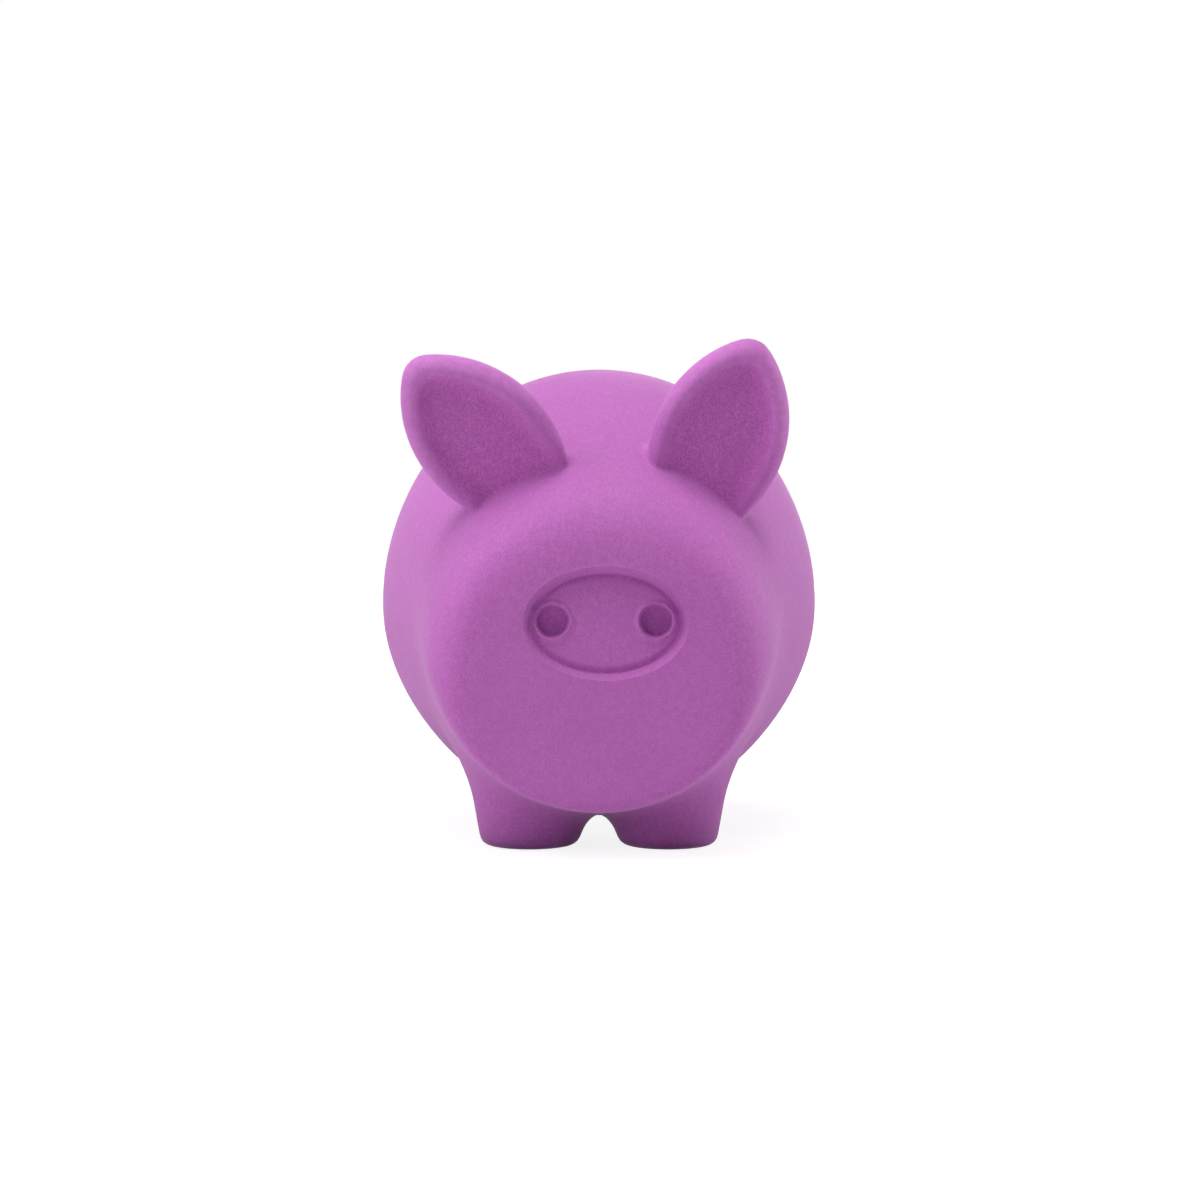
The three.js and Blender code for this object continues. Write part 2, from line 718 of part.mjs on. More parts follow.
function reedWedge() {
  const round = post(0, 0, blockRadius, wedgeBottom, blockTop);
  const form = round.intersect(box([null, null, null], [null, reedFront - gap, null]));
  return mesh('reed_wedge', at(form), plastic);
}

function reed() {
  const bottom = blockBottom + blockFoot + gap;
  const form = block([-reedWidth / 2, reedFront, bottom], [reedWidth / 2, reedBack, blockTop - gap]);
  const piece = mesh('reed', at(form), reedFilm);
  piece.userData = { hingePoint: [0, bodyY + (reedFront + reedBack) / 2, wedgeBottom], hingeAxis: [1, 0, 0] };
  return piece;
}

const pig = new THREE.Group();
pig.add(
  bodySkin(),
  headSkin(),
  leg('leg_front_left', 1, bodyY - frontLegReach),
  leg('leg_front_right', -1, bodyY - frontLegReach),
  leg('leg_rear_left', 1, bodyY + rearLegReach),
  leg('leg_rear_right', -1, bodyY + rearLegReach),
  ear('left'),
  ear('right'),
  tail(),
  filling(),
  squeakerHousing(),
  squeakerCap(),
  reedBlock(),
  reedWedge(),
  reed(),
);

export default pig;
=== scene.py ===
"""Looks of a stuffed latex pig for a dog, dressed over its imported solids.

The latex skin is grown from distance fields, in millimetres and in the solids' own frame: +Z is up,
the face looks along -Y and the soles stand at z = 0. Blender's objects are in metres.
"""

import logging
import math
from dataclasses import dataclass, field
from enum import Enum
from typing import Any, Callable, ClassVar, Iterable, Optional, Sequence, Union

import bmesh
import bpy
import numpy as np
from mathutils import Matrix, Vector

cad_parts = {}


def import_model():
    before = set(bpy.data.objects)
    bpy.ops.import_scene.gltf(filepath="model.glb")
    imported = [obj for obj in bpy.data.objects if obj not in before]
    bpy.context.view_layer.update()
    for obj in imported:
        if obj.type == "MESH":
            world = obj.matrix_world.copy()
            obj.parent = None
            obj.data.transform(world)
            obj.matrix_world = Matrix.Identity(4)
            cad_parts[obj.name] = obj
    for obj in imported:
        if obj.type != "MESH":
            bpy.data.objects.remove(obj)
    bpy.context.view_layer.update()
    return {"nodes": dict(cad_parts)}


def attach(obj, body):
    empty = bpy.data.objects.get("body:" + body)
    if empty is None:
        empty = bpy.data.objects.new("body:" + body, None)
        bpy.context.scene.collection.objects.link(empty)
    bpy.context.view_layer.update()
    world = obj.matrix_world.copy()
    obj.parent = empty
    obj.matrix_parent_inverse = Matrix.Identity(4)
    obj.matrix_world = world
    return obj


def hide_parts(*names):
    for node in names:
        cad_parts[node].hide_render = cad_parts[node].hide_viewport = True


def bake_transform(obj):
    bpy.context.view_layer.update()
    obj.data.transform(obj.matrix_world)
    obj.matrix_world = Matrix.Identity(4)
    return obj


LOG = logging.getLogger("pig")
MM = 0.001
TINY = 1e-9
LEAST_SLOPE = 1e-6

Points = np.ndarray
Field = Callable[[Points], np.ndarray]
Blend = Union[float, np.ndarray]
Face = tuple[int, ...]
Profile = Sequence[tuple[float, float]]
Triple = tuple[float, float, float]
Span = tuple[float, float]

WHITE: Triple = (1.0, 1.0, 1.0)


class Hand(Enum):
    """The pig's own side that a piece is on, as the sign of x."""

    LEFT = 1
    RIGHT = -1


class Quality(Enum):
    """How finely the skin is cast, as the side of a cube in millimetres."""

    DRAFT = 1.8
    FULL = 1.1


# Distance fields, negative inside


def smooth_min(a: np.ndarray, b: np.ndarray, blend: Blend) -> np.ndarray:
    """Joins two distances with a fillet.

    Args:
        a: First distance.
        b: Second distance.
        blend: How near the two come before they run together.

    Returns:
        The joined distance.
    """
    share = np.clip(0.5 + 0.5 * (b - a) / blend, 0.0, 1.0)
    return b + (a - b) * share - blend * share * (1.0 - share)


def smooth_max(a: np.ndarray, b: np.ndarray, blend: Blend) -> np.ndarray:
    """Cuts one distance by another with a rounded edge.

    Args:
        a: First distance.
        b: Second distance.
        blend: Width of the rounding.

    Returns:
        The cut distance.
    """
    return -smooth_min(-a, -b, blend)


def ellipsoid(p: Points, radii: Sequence[float]) -> np.ndarray:
    """Gives a near distance to an ellipsoid, or to an ellipse, about the origin.

    Args:
        p: Points, one column for each radius.
        radii: Half lengths of the axes.

    Returns:
        The distances.
    """
    r = np.asarray(radii, float)
    near = np.linalg.norm(p / r, axis=1)
    slope = np.linalg.norm(p / r**2, axis=1)
    return near * (near - 1.0) / np.maximum(slope, TINY)


def smooth_step(value: np.ndarray) -> np.ndarray:
    """Runs softly from 0 to 1 as the value does."""
    t = np.clip(value, 0.0, 1.0)
    return t * t * (3.0 - 2.0 * t)


def ridge(away: np.ndarray, run: float) -> np.ndarray:
    """Gives a smooth ridge, 1 high where the distance is 0."""
    return np.exp(-((away / run) ** 2))


def turned(angle: float, axis: int) -> np.ndarray:
    """Gives the matrix of a turn about one axis.

    Args:
        angle: The turn in degrees, against the clock.
        axis: 0, 1 or 2, for x, y or z.

    Returns:
        The matrix, whose columns are the turned axes.
    """
    cosine, sine = math.cos(math.radians(angle)), math.sin(math.radians(angle))
    a, b = (axis + 1) % 3, (axis + 2) % 3
    matrix = np.eye(3)
    matrix[a, a] = matrix[b, b] = cosine
    matrix[a, b], matrix[b, a] = -sine, sine
    return matrix


def gradient(shape: Field, p: Points, step: float = 0.02) -> Points:
    """Works out a field's slope by central differences.

    Args:
        shape: The field.
        p: Where to take the slope.
        step: Half the span of a difference.

    Returns:
        One slope for each point.
    """
    spans = [shape(p + step * e) - shape(p - step * e) for e in np.eye(3)]
    return np.stack(spans, 1) / (2 * step)


def settle(shape: Field, p: Points, rounds: int) -> Points:
    """Draws points onto a field's zero surface.

    Args:
        shape: The field.
        p: Points near the surface.
        rounds: How often each point is drawn.

    Returns:
        The drawn points.
    """
    for _ in range(rounds):
        slope = gradient(shape, p)
        steep = np.maximum((slope * slope).sum(1), LEAST_SLOPE)
        p = p - slope * (shape(p) / steep)[:, None]
    return p


@dataclass(frozen=True)
class Net:
    """A closed net of quads, with its points in millimetres."""

    FIRST_DRAWS: ClassVar[int] = 4
    NEXT_DRAWS: ClassVar[int] = 2

    points: Points
    quads: np.ndarray

    @classmethod
    def cast(cls, shape: Field, low: Sequence[float], high: Sequence[float], cell: float) -> "Net":
        """Casts a field's zero surface.

        Each cube that the surface crosses gets a point, and each crossed edge a quad over it.

        Args:
            shape: The field, which is outside all over the box's sides.
            low: The box's lowest corner.
            high: The box's highest corner.
            cell: A cube's side.

        Returns:
            The net, facing outwards.
        """
        axes = [np.arange(a, b + cell, cell) for a, b in zip(low, high)]
        grid = np.stack(np.meshgrid(*axes, indexing="ij"), -1)
        values = shape(grid.reshape(-1, 3)).reshape(grid.shape[:3])
        cubes = tuple(n - 1 for n in values.shape)
        total, hits = np.zeros((*cubes, 3)), np.zeros(cubes)
        rings = []
        for axis in range(3):
            lower, upper = np.delete(values, -1, axis), np.delete(values, 0, axis)
            crossed = (lower < 0) != (upper < 0)
            at = np.argwhere(crossed)
            point = at.astype(float)
            point[:, axis] += lower[crossed] / (lower - upper)[crossed]
            side = [np.eye(3, dtype=int)[(axis + k) % 3] for k in (1, 2)]
            ring = [at - side[0] - side[1], at - side[1], at, at - side[0]]
            for cube in ring:
                np.add.at(total, tuple(cube.T), point)
                np.add.at(hits, tuple(cube.T), 1.0)
            rings.append(ring if len(at) == 0 else [
                np.where((lower[crossed] < 0)[:, None], ring[k], ring[3 - k]) for k in range(4)
            ])
        label = np.full(cubes, -1)
        label[hits > 0] = np.arange(int((hits > 0).sum()))
        points = np.asarray(low, float) + cell * total[hits > 0] / hits[hits > 0][:, None]
        quads = [np.stack([label[tuple(cube.T)] for cube in ring], 1) for ring in rings]
        return cls(points, np.concatenate(quads))

    def relaxed(self, shape: Field, rounds: int) -> "Net":
        """Evens out the net along the surface.

        Args:
            shape: The field that the net lies on.
            rounds: How often each point moves half way to its neighbours' middle.

        Returns:
            The evened net.
        """
        ends = np.concatenate([self.quads[:, [k, (k + 1) % 4]] for k in range(4)])
        count = np.bincount(ends[:, 0], minlength=len(self.points))[:, None]
        p = settle(shape, self.points, self.FIRST_DRAWS)
        for _ in range(rounds):
            total = np.zeros_like(p)
            np.add.at(total, ends[:, 0], p[ends[:, 1]])
            p = settle(shape, 0.5 * p + 0.5 * total / count, self.NEXT_DRAWS)
        return Net(p, self.quads)


# Forms of the pig


@dataclass(frozen=True)
class Trunk:
    """Body and head: an ellipsoid that a cone frustum with a flat face runs into."""

    body_width: float = 79.2
    body_length: float = 90.0
    body_height: float = 80.0
    body_middle: float = 43.4
    body_y: float = 3.0
    belly_clearance: float = 4.8
    face_reach: float = 54.0
    face_radius: float = 29.3
    head_depth: float = 44.0
    head_end_radius: float = 33.2
    head_axis_height: float = 38.2
    brow_height: float = 52.0
    brow_middle: float = 18.0
    brow_width: float = 27.5
    brow_radius: float = 12.0
    brow_blend: float = 8.0
    chin_blend: float = 1.8
    chin_drop: float = 0.022
    cheek_start: float = 15.0
    cheek_rise: float = 25.0
    cheek_spread: float = 0.085
    cheek_blend: float = 8.0
    neck_blend: float = 10.0
    wall: float = 2.5
    far: float = 200.0
    halvings: int = 50

    @property
    def face_y(self) -> float:
        """Where the flat of the face lies."""
        return self.body_y - self.face_reach

    def body(self, p: Points) -> np.ndarray:
        """Gives the distance to the body's ellipsoid."""
        away = p - np.array([0.0, self.body_y, self.body_middle])
        below = self.body_middle - self.belly_clearance
        away[:, 2] *= np.where(away[:, 2] < 0, 1.0, below / (self.body_height - below))
        return ellipsoid(away, (self.body_width / 2, self.body_length / 2, below))

    def head(self, p: Points) -> np.ndarray:
        """Gives the distance to the head, whose face rolls back round the brow."""
        x, y, z = p.T
        taper = (self.head_end_radius - self.face_radius) / self.head_depth
        radius = self.face_radius + taper * (y - self.face_y)
        cheek = smooth_step((z - self.cheek_start) / self.cheek_rise)
        along = np.clip((y - self.face_y) / self.head_depth, 0.0, 1.0)
        wide = 1.0 + self.cheek_spread * cheek * along
        up = z - self.head_axis_height
        up = up / np.where(up < 0, 1.0 + self.chin_drop * (1.0 - along), 1.0)
        side = (np.hypot(x / wide, up) - radius) / math.hypot(1.0, taper)
        flat = self.brow_height - self.brow_middle
        round_brow = np.hypot(x * flat / self.brow_width, np.maximum(z - self.brow_middle, 0.0))
        rise = smooth_max(round_brow - flat, np.zeros_like(z), self.brow_blend)
        lean = rise / self.brow_radius
        face = (self.face_y + rise * lean / 2 - y) / np.hypot(1.0, lean)
        edge_blend = self.chin_blend + (self.cheek_blend - self.chin_blend) * cheek
        front = smooth_max(side, face, edge_blend)
        return smooth_max(front, y - self.face_y - self.head_depth, self.neck_blend)

    def distance(self, p: Points) -> np.ndarray:
        """Gives the distance to the body and the head together."""
        return smooth_min(self.body(p), self.head(p), self.neck_blend)

    def surface(self, start: Points, along: Sequence[float]) -> Points:
        """Finds where lines from inside leave the trunk.

        Args:
            start: Points inside.
            along: The lines' direction.

        Returns:
            The points on the surface.
        """
        step = np.asarray(along, float)
        inside, outside = np.zeros(len(start)), np.full(len(start), self.far)
        for _ in range(self.halvings):
            middle = (inside + outside) / 2
            out = self.distance(start + middle[:, None] * step) > 0
            outside, inside = np.where(out, middle, outside), np.where(out, inside, middle)
        return start + inside[:, None] * step


@dataclass(frozen=True)
class LegPair:
    """Two tapered stubs side by side, joined by a small arch."""

    y: float
    track: float = 24.4
    sole_radius: float = 8.6
    top_radius: float = 13.2
    height: float = 26.0
    foot_blend: float = 2.9
    top_blend: float = 9.0
    arch_blend: float = 2.0
    sole_cut: float = 0.5

    def distance(self, p: Points) -> np.ndarray:
        """Gives the distance to the two legs, which reach a little under the floor."""
        x, y, z = p.T
        taper = (self.top_radius - self.sole_radius) / self.height
        legs = []
        for hand in Hand:
            across = np.hypot(x - hand.value * self.track / 2, y - self.y)
            side = (across - self.sole_radius - taper * z) / math.hypot(1.0, taper)
            foot = smooth_max(side, -self.sole_cut - z, self.foot_blend)
            legs.append(smooth_max(foot, z - self.height, self.top_blend))
        return smooth_min(legs[0], legs[1], self.arch_blend)


@dataclass
class Ear:
    """A leaf between two arcs, cupped in front, seated on the head. Its angles are degrees."""

    trunk: Trunk
    hand: Hand
    lean: float
    pitch: float
    turn: float
    spread: float
    setback: float
    sink: float
    base_width: float = 14.9
    length: float = 33.2
    tip_shift: float = -1.0
    outer_radius: float = 22.9
    inner_radius: float = 22.8
    tip_blend: float = 3.0
    thickness: float = 6.0
    rim_radius: float = 2.9
    rim_width: float = 3.4
    cup_depth: float = 2.2
    cup_round: float = 3.0
    cup_blend: float = 1.6
    cup_start: float = 10.0
    root_rise: float = 1.6
    hollow_rim: float = 2.7
    hollow_run: float = 1.3
    tone_reach: float = 0.5
    seat_step: float = 0.01
    split_rise: float = 1.2
    split_reach: float = 2.5
    bend_start: float = 2.8
    bend_end: float = 12.0
    spin: np.ndarray = field(init=False)
    origin: np.ndarray = field(init=False)
    rise: np.ndarray = field(init=False)
    centre: np.ndarray = field(init=False)
    arcs: list[np.ndarray] = field(init=False)

    def __post_init__(self) -> None:
        """Seats the ear on the head and works out its leaf's arcs."""
        side, trunk = self.hand.value, self.trunk
        lean, turn = turned(side * self.lean, 1), turned(side * self.turn, 2)
        self.spin = lean @ turned(self.pitch, 0) @ turn
        start = (side * self.spread, trunk.face_y + self.setback, trunk.head_axis_height)
        seat = trunk.surface(np.array([start]), (0, 0, 1))
        outward = gradient(trunk.distance, seat, self.seat_step)[0]
        back, up = self.spin[:, 1], self.spin[:, 2]
        axis = np.cross(back, outward / np.linalg.norm(outward))
        axis /= np.linalg.norm(axis)
        self.rise = np.cross(axis, back)
        self.origin = seat[0] - self.sink * up
        self.centre = seat[0] + self.root_rise * self.rise
        tip = np.array([self.tip_shift, self.length])
        half = np.array([self.base_width / 2, 0.0])
        self.arcs = [
            self._arc(half, tip, self.outer_radius),
            self._arc(tip, -half, self.inner_radius),
        ]

    @staticmethod
    def _arc(start: np.ndarray, end: np.ndarray, radius: float) -> np.ndarray:
        """Finds the middle of an arc over a chord, on the chord's left."""
        chord = end - start
        half = np.linalg.norm(chord) / 2
        inward = np.array([-chord[1], chord[0]]) / (2 * half)
        return (start + end) / 2 + inward * math.sqrt(max(radius**2 - half**2, 0.0))

    def _outline(self, u: np.ndarray, w: np.ndarray) -> np.ndarray:
        """Gives the distance to the leaf's outline, in its own plane."""
        outer, inner = self.arcs
        return smooth_max(
            np.hypot(u - outer[0], w - outer[1]) - self.outer_radius,
            np.hypot(u - inner[0], w - inner[1]) - self.inner_radius,
            self.tip_blend,
        )

    def _local(self, p: Points) -> tuple[np.ndarray, np.ndarray, np.ndarray]:
        """Gives how far points lie outward, upward and to the front on the leaf."""
        local = (p - self.origin) @ self.spin
        return self.hand.value * local[:, 0], local[:, 2], -local[:, 1]

    def _within(self, u: np.ndarray, w: np.ndarray) -> np.ndarray:
        """Gives 0 on the cup's rim and 1 inside it, in the leaf's own plane."""
        return smooth_step((-self._outline(u, w) - self.hollow_rim) / self.hollow_run)

    def distance(self, p: Points) -> np.ndarray:
        """Gives the distance to the ear's leaf, whose cup runs out at its base."""
        u, w, n = self._local(p)
        a = self._outline(u, w) + self.rim_radius
        b = np.abs(n) - self.thickness / 2 + self.rim_radius
        corner = np.hypot(np.maximum(a, 0), np.maximum(b, 0))
        plate = np.minimum(np.maximum(a, b), 0) + corner - self.rim_radius
        hollow = self._outline(u, np.maximum(w, self.cup_start)) + self.rim_width
        cup = smooth_max(hollow, self.thickness / 2 - self.cup_depth - n, self.cup_round)
        return smooth_max(plate, -cup, self.cup_blend)

    # Masks the painted shade in the ear cup.
    def hollow(self, p: Points) -> np.ndarray:
        """Gives how far inside the cup points lie, from 0 on the rim to 1."""
        u, w, n = self._local(p)
        on_front = (self.distance(p) < self.tone_reach) & (n > 0.0)
        return self._within(u, w) * smooth_step(w / self.hollow_run) * on_front

    # Masks the painted light on the ear rim.
    def rim(self, p: Points) -> np.ndarray:
        """Gives how far points lie on the cup's rim, from 0 to 1, and less towards the root."""
        u, w, n = self._local(p)
        upper = smooth_step(w / self.cup_start - 1.0) * (self.distance(p) < self.tone_reach)
        return (1.0 - self._within(u, w)) * upper * smooth_step(1.0 + n / self.thickness)

    def front(self, p: Points) -> np.ndarray:
        """Gives how far points lie in front of the leaf's middle."""
        return (self.origin - p) @ self.spin[:, 1]

    def height(self, p: Points) -> np.ndarray:
        """Gives how far points stand above the line across the ear's root."""
        return (p - self.centre) @ self.rise

    def bend(self) -> tuple[Vector, Vector]:
        """Gives where the bend starts and ends, in metres."""
        start = self.centre + self.bend_start * self.rise
        end = self.centre + self.bend_end * self.rise
        return Vector(start * MM), Vector(end * MM)


@dataclass
class Tail:
    """A tapered curl in relief on the rump."""

    trunk: Trunk
    height: float = 54.0
    curl_radius: float = 4.6
    curl_end: float = 2.2
    turns: float = 1.3
    relief: float = 0.5
    root_radius: float = 2.7
    tip_radius: float = 1.5
    steps: int = 60
    beads: np.ndarray = field(init=False)
    radii: np.ndarray = field(init=False)

    def __post_init__(self) -> None:
        """Lays the curl's beads along the rump."""
        t = np.linspace(0.0, 1.0, self.steps + 1)
        angle = 2 * math.pi * self.turns * t
        radius = self.curl_radius + (self.curl_end - self.curl_radius) * t
        self.radii = self.root_radius + (self.tip_radius - self.root_radius) * t
        x, z = radius * np.sin(angle), self.height + radius * np.cos(angle)
        start = np.stack([x, np.full_like(x, self.trunk.body_y), z], 1)
        self.beads = self.trunk.surface(start, (0, 1, 0))
        self.beads[:, 1] += self.relief * self.radii

    def distance(self, p: Points) -> np.ndarray:
        """Gives the distance to the curl, and only a lower bound of it far away."""
        middle = self.beads.mean(0)
        reach = self.curl_radius + 2 * self.root_radius
        away = np.linalg.norm(p - middle, axis=1) - reach
        near = away < reach
        gaps = np.linalg.norm(p[near][:, None, :] - self.beads[None], axis=2) - self.radii
        away[near] = gaps.min(1) if near.any() else away[near]
        return away


@dataclass(frozen=True)
class Snout:
    """An oval recess in the face with two blind nostrils, each edged by a fine bead."""

    trunk: Trunk
    height: float = 40.65
    shift: float = 1.22
    width: float = 27.6
    rise: float = 18.8
    depth: float = 1.7
    depth_change: float = 0.4
    depth_slant: float = 0.2
    wall_run: float = 0.5
    wall_start: float = 0.3
    run_change: float = -0.05
    groove_depth: float = 0.6
    groove_place: float = 0.95
    groove_change: float = 0.2
    groove_run: float = 0.6
    bead: float = 0.16
    bead_place: float = 0.1
    bead_run: float = 0.42
    nostril_diameter: float = 6.0
    nostril_spacing: float = 17.7
    nostril_shift: float = -0.3
    nostril_lift: float = 0.39
    nostril_depth: float = 2.3
    nostril_run: float = 0.7
    nostril_start: float = 0.1
    nostril_bead: float = 0.55
    pad_margin: float = 3.0
    pad_blend: float = 2.0
    fine_margin: float = 3.4
    fine_depth: float = 4.0
    press_depth: float = 6.5

    def oval(self, p: Points) -> np.ndarray:
        """Gives the distance to the oval's outline, seen from in front."""
        flat = np.stack([p[:, 0] - self.shift, p[:, 2] - self.height], 1)
        return ellipsoid(flat, (self.width / 2, self.rise / 2))

    def sunk(self, p: Points) -> np.ndarray:
        """Gives how far the face is pressed in at points, and less than nothing on the beads.

        Args:
            p: Points on the face.

        Returns:
            The depths along +Y.
        """
        oval = self.oval(p)
        across = np.abs(p[:, 0] - self.shift - self.nostril_shift) - self.nostril_spacing / 2
        above = p[:, 2] - self.height - self.nostril_lift
        nostril = np.hypot(across, above) - self.nostril_diameter / 2
        high = np.clip(2.0 * (p[:, 2] - self.height) / self.rise, -1.0, 1.0)
        aside = np.clip(2.0 * (p[:, 0] - self.shift) / self.width, -1.0, 1.0)
        deep = self.depth + self.depth_change * high + self.depth_slant * aside
        slope = np.maximum(self.wall_start - oval, 0.0) / (self.wall_run + self.run_change * high)
        floor = deep * (1.0 - np.exp(-slope))
        lower = self.groove_change * high
        furrow = ridge(oval + self.groove_place - lower, self.groove_run)
        groove = (self.groove_depth - lower) * furrow
        hole = self.nostril_depth * smooth_step(self.nostril_start - nostril / self.nostril_run)
        rim = self.bead * np.maximum(high, 0.0) * ridge(oval - self.bead_place, self.bead_run)
        edge = self.nostril_bead * ridge(nostril - self.bead_place, self.bead_run)
        return floor + groove * (oval < self.wall_start) + hole - rim - edge

    def pad(self, p: Points) -> np.ndarray:
        """Gives the distance to the solid latex behind the recess."""
        deep = self.trunk.face_y + self.depth + self.nostril_depth + self.trunk.wall
        return smooth_max(self.oval(p) - self.pad_margin, p[:, 1] - deep, self.pad_blend)

    def fine(self, p: Points) -> np.ndarray:
        """Tells which points lie on the part of the face that is cast finely."""
        return self._near(p, self.fine_depth)

    def pressed(self, p: Points) -> np.ndarray:
        """Gives how far the face is pressed in, and nothing away from the face."""
        press = np.zeros(len(p))
        near = self._near(p, self.press_depth)
        press[near] = self.sunk(p[near])
        return press

    def _near(self, p: Points, depth: float) -> np.ndarray:
        """Tells which points lie about the oval, down to a depth behind the face."""
        return (self.oval(p) < self.fine_margin) & (p[:, 1] < self.trunk.face_y + depth)


# Shader graphs


Value = Union["Wire", float, Sequence[float]]
Socket = Union[int, str]


@dataclass(frozen=True)
class Noise:
    """Cloudy noise: its size in millimetres, its finer layers and the span that is made use of."""

    size: float
    detail: float = 2.0
    rough: float = 0.5
    span: Span = (0.35, 0.65)


@dataclass(frozen=True)
class Wire:
    """An output socket, with the arithmetic that is used on it."""

    graph: "Graph"
    socket: bpy.types.NodeSocket

    def _math(self, operation: str, a: Value, b: Value) -> "Wire":
        """Adds a Math node and gives its output."""
        return self.graph.node("ShaderNodeMath", {"operation": operation}, {0: a, 1: b})

    def __add__(self, other: Value) -> "Wire":
        """Adds."""
        return self._math("ADD", self, other)

    def __radd__(self, other: Value) -> "Wire":
        """Adds, with the number first."""
        return self._math("ADD", other, self)

    def __sub__(self, other: Value) -> "Wire":
        """Subtracts."""
        return self._math("SUBTRACT", self, other)

    def __rsub__(self, other: Value) -> "Wire":
        """Subtracts from a number."""
        return self._math("SUBTRACT", other, self)

    def __mul__(self, other: Value) -> "Wire":
        """Multiplies."""
        return self._math("MULTIPLY", self, other)

    def __rmul__(self, other: Value) -> "Wire":
        """Multiplies, with the number first."""
        return self._math("MULTIPLY", other, self)

    def ramp(self, low: float, high: float) -> "Wire":
        """Runs softly from 0 at one value to 1 at another.

        Args:
            low: Where the result is 0.
            high: Where the result is 1.

        Returns:
            The result.
        """
        settings = {"interpolation_type": "SMOOTHSTEP", "clamp": True}
        sockets = {0: self, 1: low, 2: high, 3: 0.0, 4: 1.0}
        return self.graph.node("ShaderNodeMapRange", settings, sockets)


class Graph:
    """A material's or the world's nodes, made by type, settings and sockets."""

    MIX_FIRST: ClassVar[int] = 6
    MIX_SECOND: ClassVar[int] = 7
    MIX_RESULT: ClassVar[int] = 2

    def __init__(self, tree: bpy.types.NodeTree) -> None:
        """Empties the tree.

        Args:
            tree: The node tree to fill.
        """
        self.tree = tree
        tree.nodes.clear()

    def node(
        self,
        kind: str,
        settings: dict[str, Any],
        sockets: dict[Socket, Value],
        out: Socket = 0,
    ) -> Wire:
        """Adds a node.

        Args:
            kind: The node's type.
            settings: Its properties, set first.
            sockets: Values or wires of its inputs, by index or name.
            out: Which output is given back.

        Returns:
            That output, or an empty wire where the node has none.
        """
        made = self.tree.nodes.new(kind)
        for name, value in settings.items():
            setattr(made, name, value)
        for name, value in sockets.items():
            if isinstance(value, Wire):
                self.tree.links.new(value.socket, made.inputs[name])
            else:
                made.inputs[name].default_value = value
        return Wire(self, made.outputs[out] if len(made.outputs) else None)

    def mix(self, share: Value, a: Value, b: Value) -> Wire:
        """Mixes two colours.

        Args:
            share: How much of the second shows.
            a: First colour.
            b: Second colour.

        Returns:
            The mixed colour.
        """
        settings = {"data_type": "RGBA", "clamp_factor": True}
        sockets = {0: share, self.MIX_FIRST: a, self.MIX_SECOND: b}
        return self.node("ShaderNodeMix", settings, sockets, self.MIX_RESULT)

    def place(self) -> Wire:
        """Gives the place on the object, in metres."""
        return self.node("ShaderNodeTexCoord", {}, {}, "Object")

    def noise(self, at: Wire, noise: Noise) -> Wire:
        """Gives cloudy noise.

        Args:
            at: Where it is read.
            noise: Its size and layers.

        Returns:
            Values about 0.5.
        """
        sockets = {"Vector": at, "Scale": 1.0 / (noise.size * MM)}
        sockets |= {"Detail": noise.detail, "Roughness": noise.rough}
        return self.node("ShaderNodeTexNoise", {}, sockets)

    def bump(self, height: Wire, strength: float, depth: float) -> Wire:
        """Gives the normals of a roughened surface.

        Args:
            height: The height of the roughness, as a share of its depth.
            strength: How much of it shows.
            depth: Its depth in millimetres.

        Returns:
            The normals.
        """
        sockets = {"Strength": strength, "Distance": depth * MM, "Height": height}
        return self.node("ShaderNodeBump", {}, sockets, "Normal")

    def close(self, sockets: dict[Socket, Value]) -> None:
        """Ends a material in one Principled shader with the given sockets."""
        shader = self.node("ShaderNodeBsdfPrincipled", {}, sockets)
        self.node("ShaderNodeOutputMaterial", {}, {"Surface": shader})


def rgba(colour: Sequence[float]) -> tuple[float, float, float, float]:
    """Gives a linear colour its alpha."""
    return (colour[0], colour[1], colour[2], 1.0)


def new_material(name: str) -> tuple[bpy.types.Material, Graph]:
    """Makes an empty material.

    Args:
        name: Its name.

    Returns:
        The material and its graph.
    """
    material = bpy.data.materials.new(name)
    material.use_nodes = True
    return material, Graph(material.node_tree)


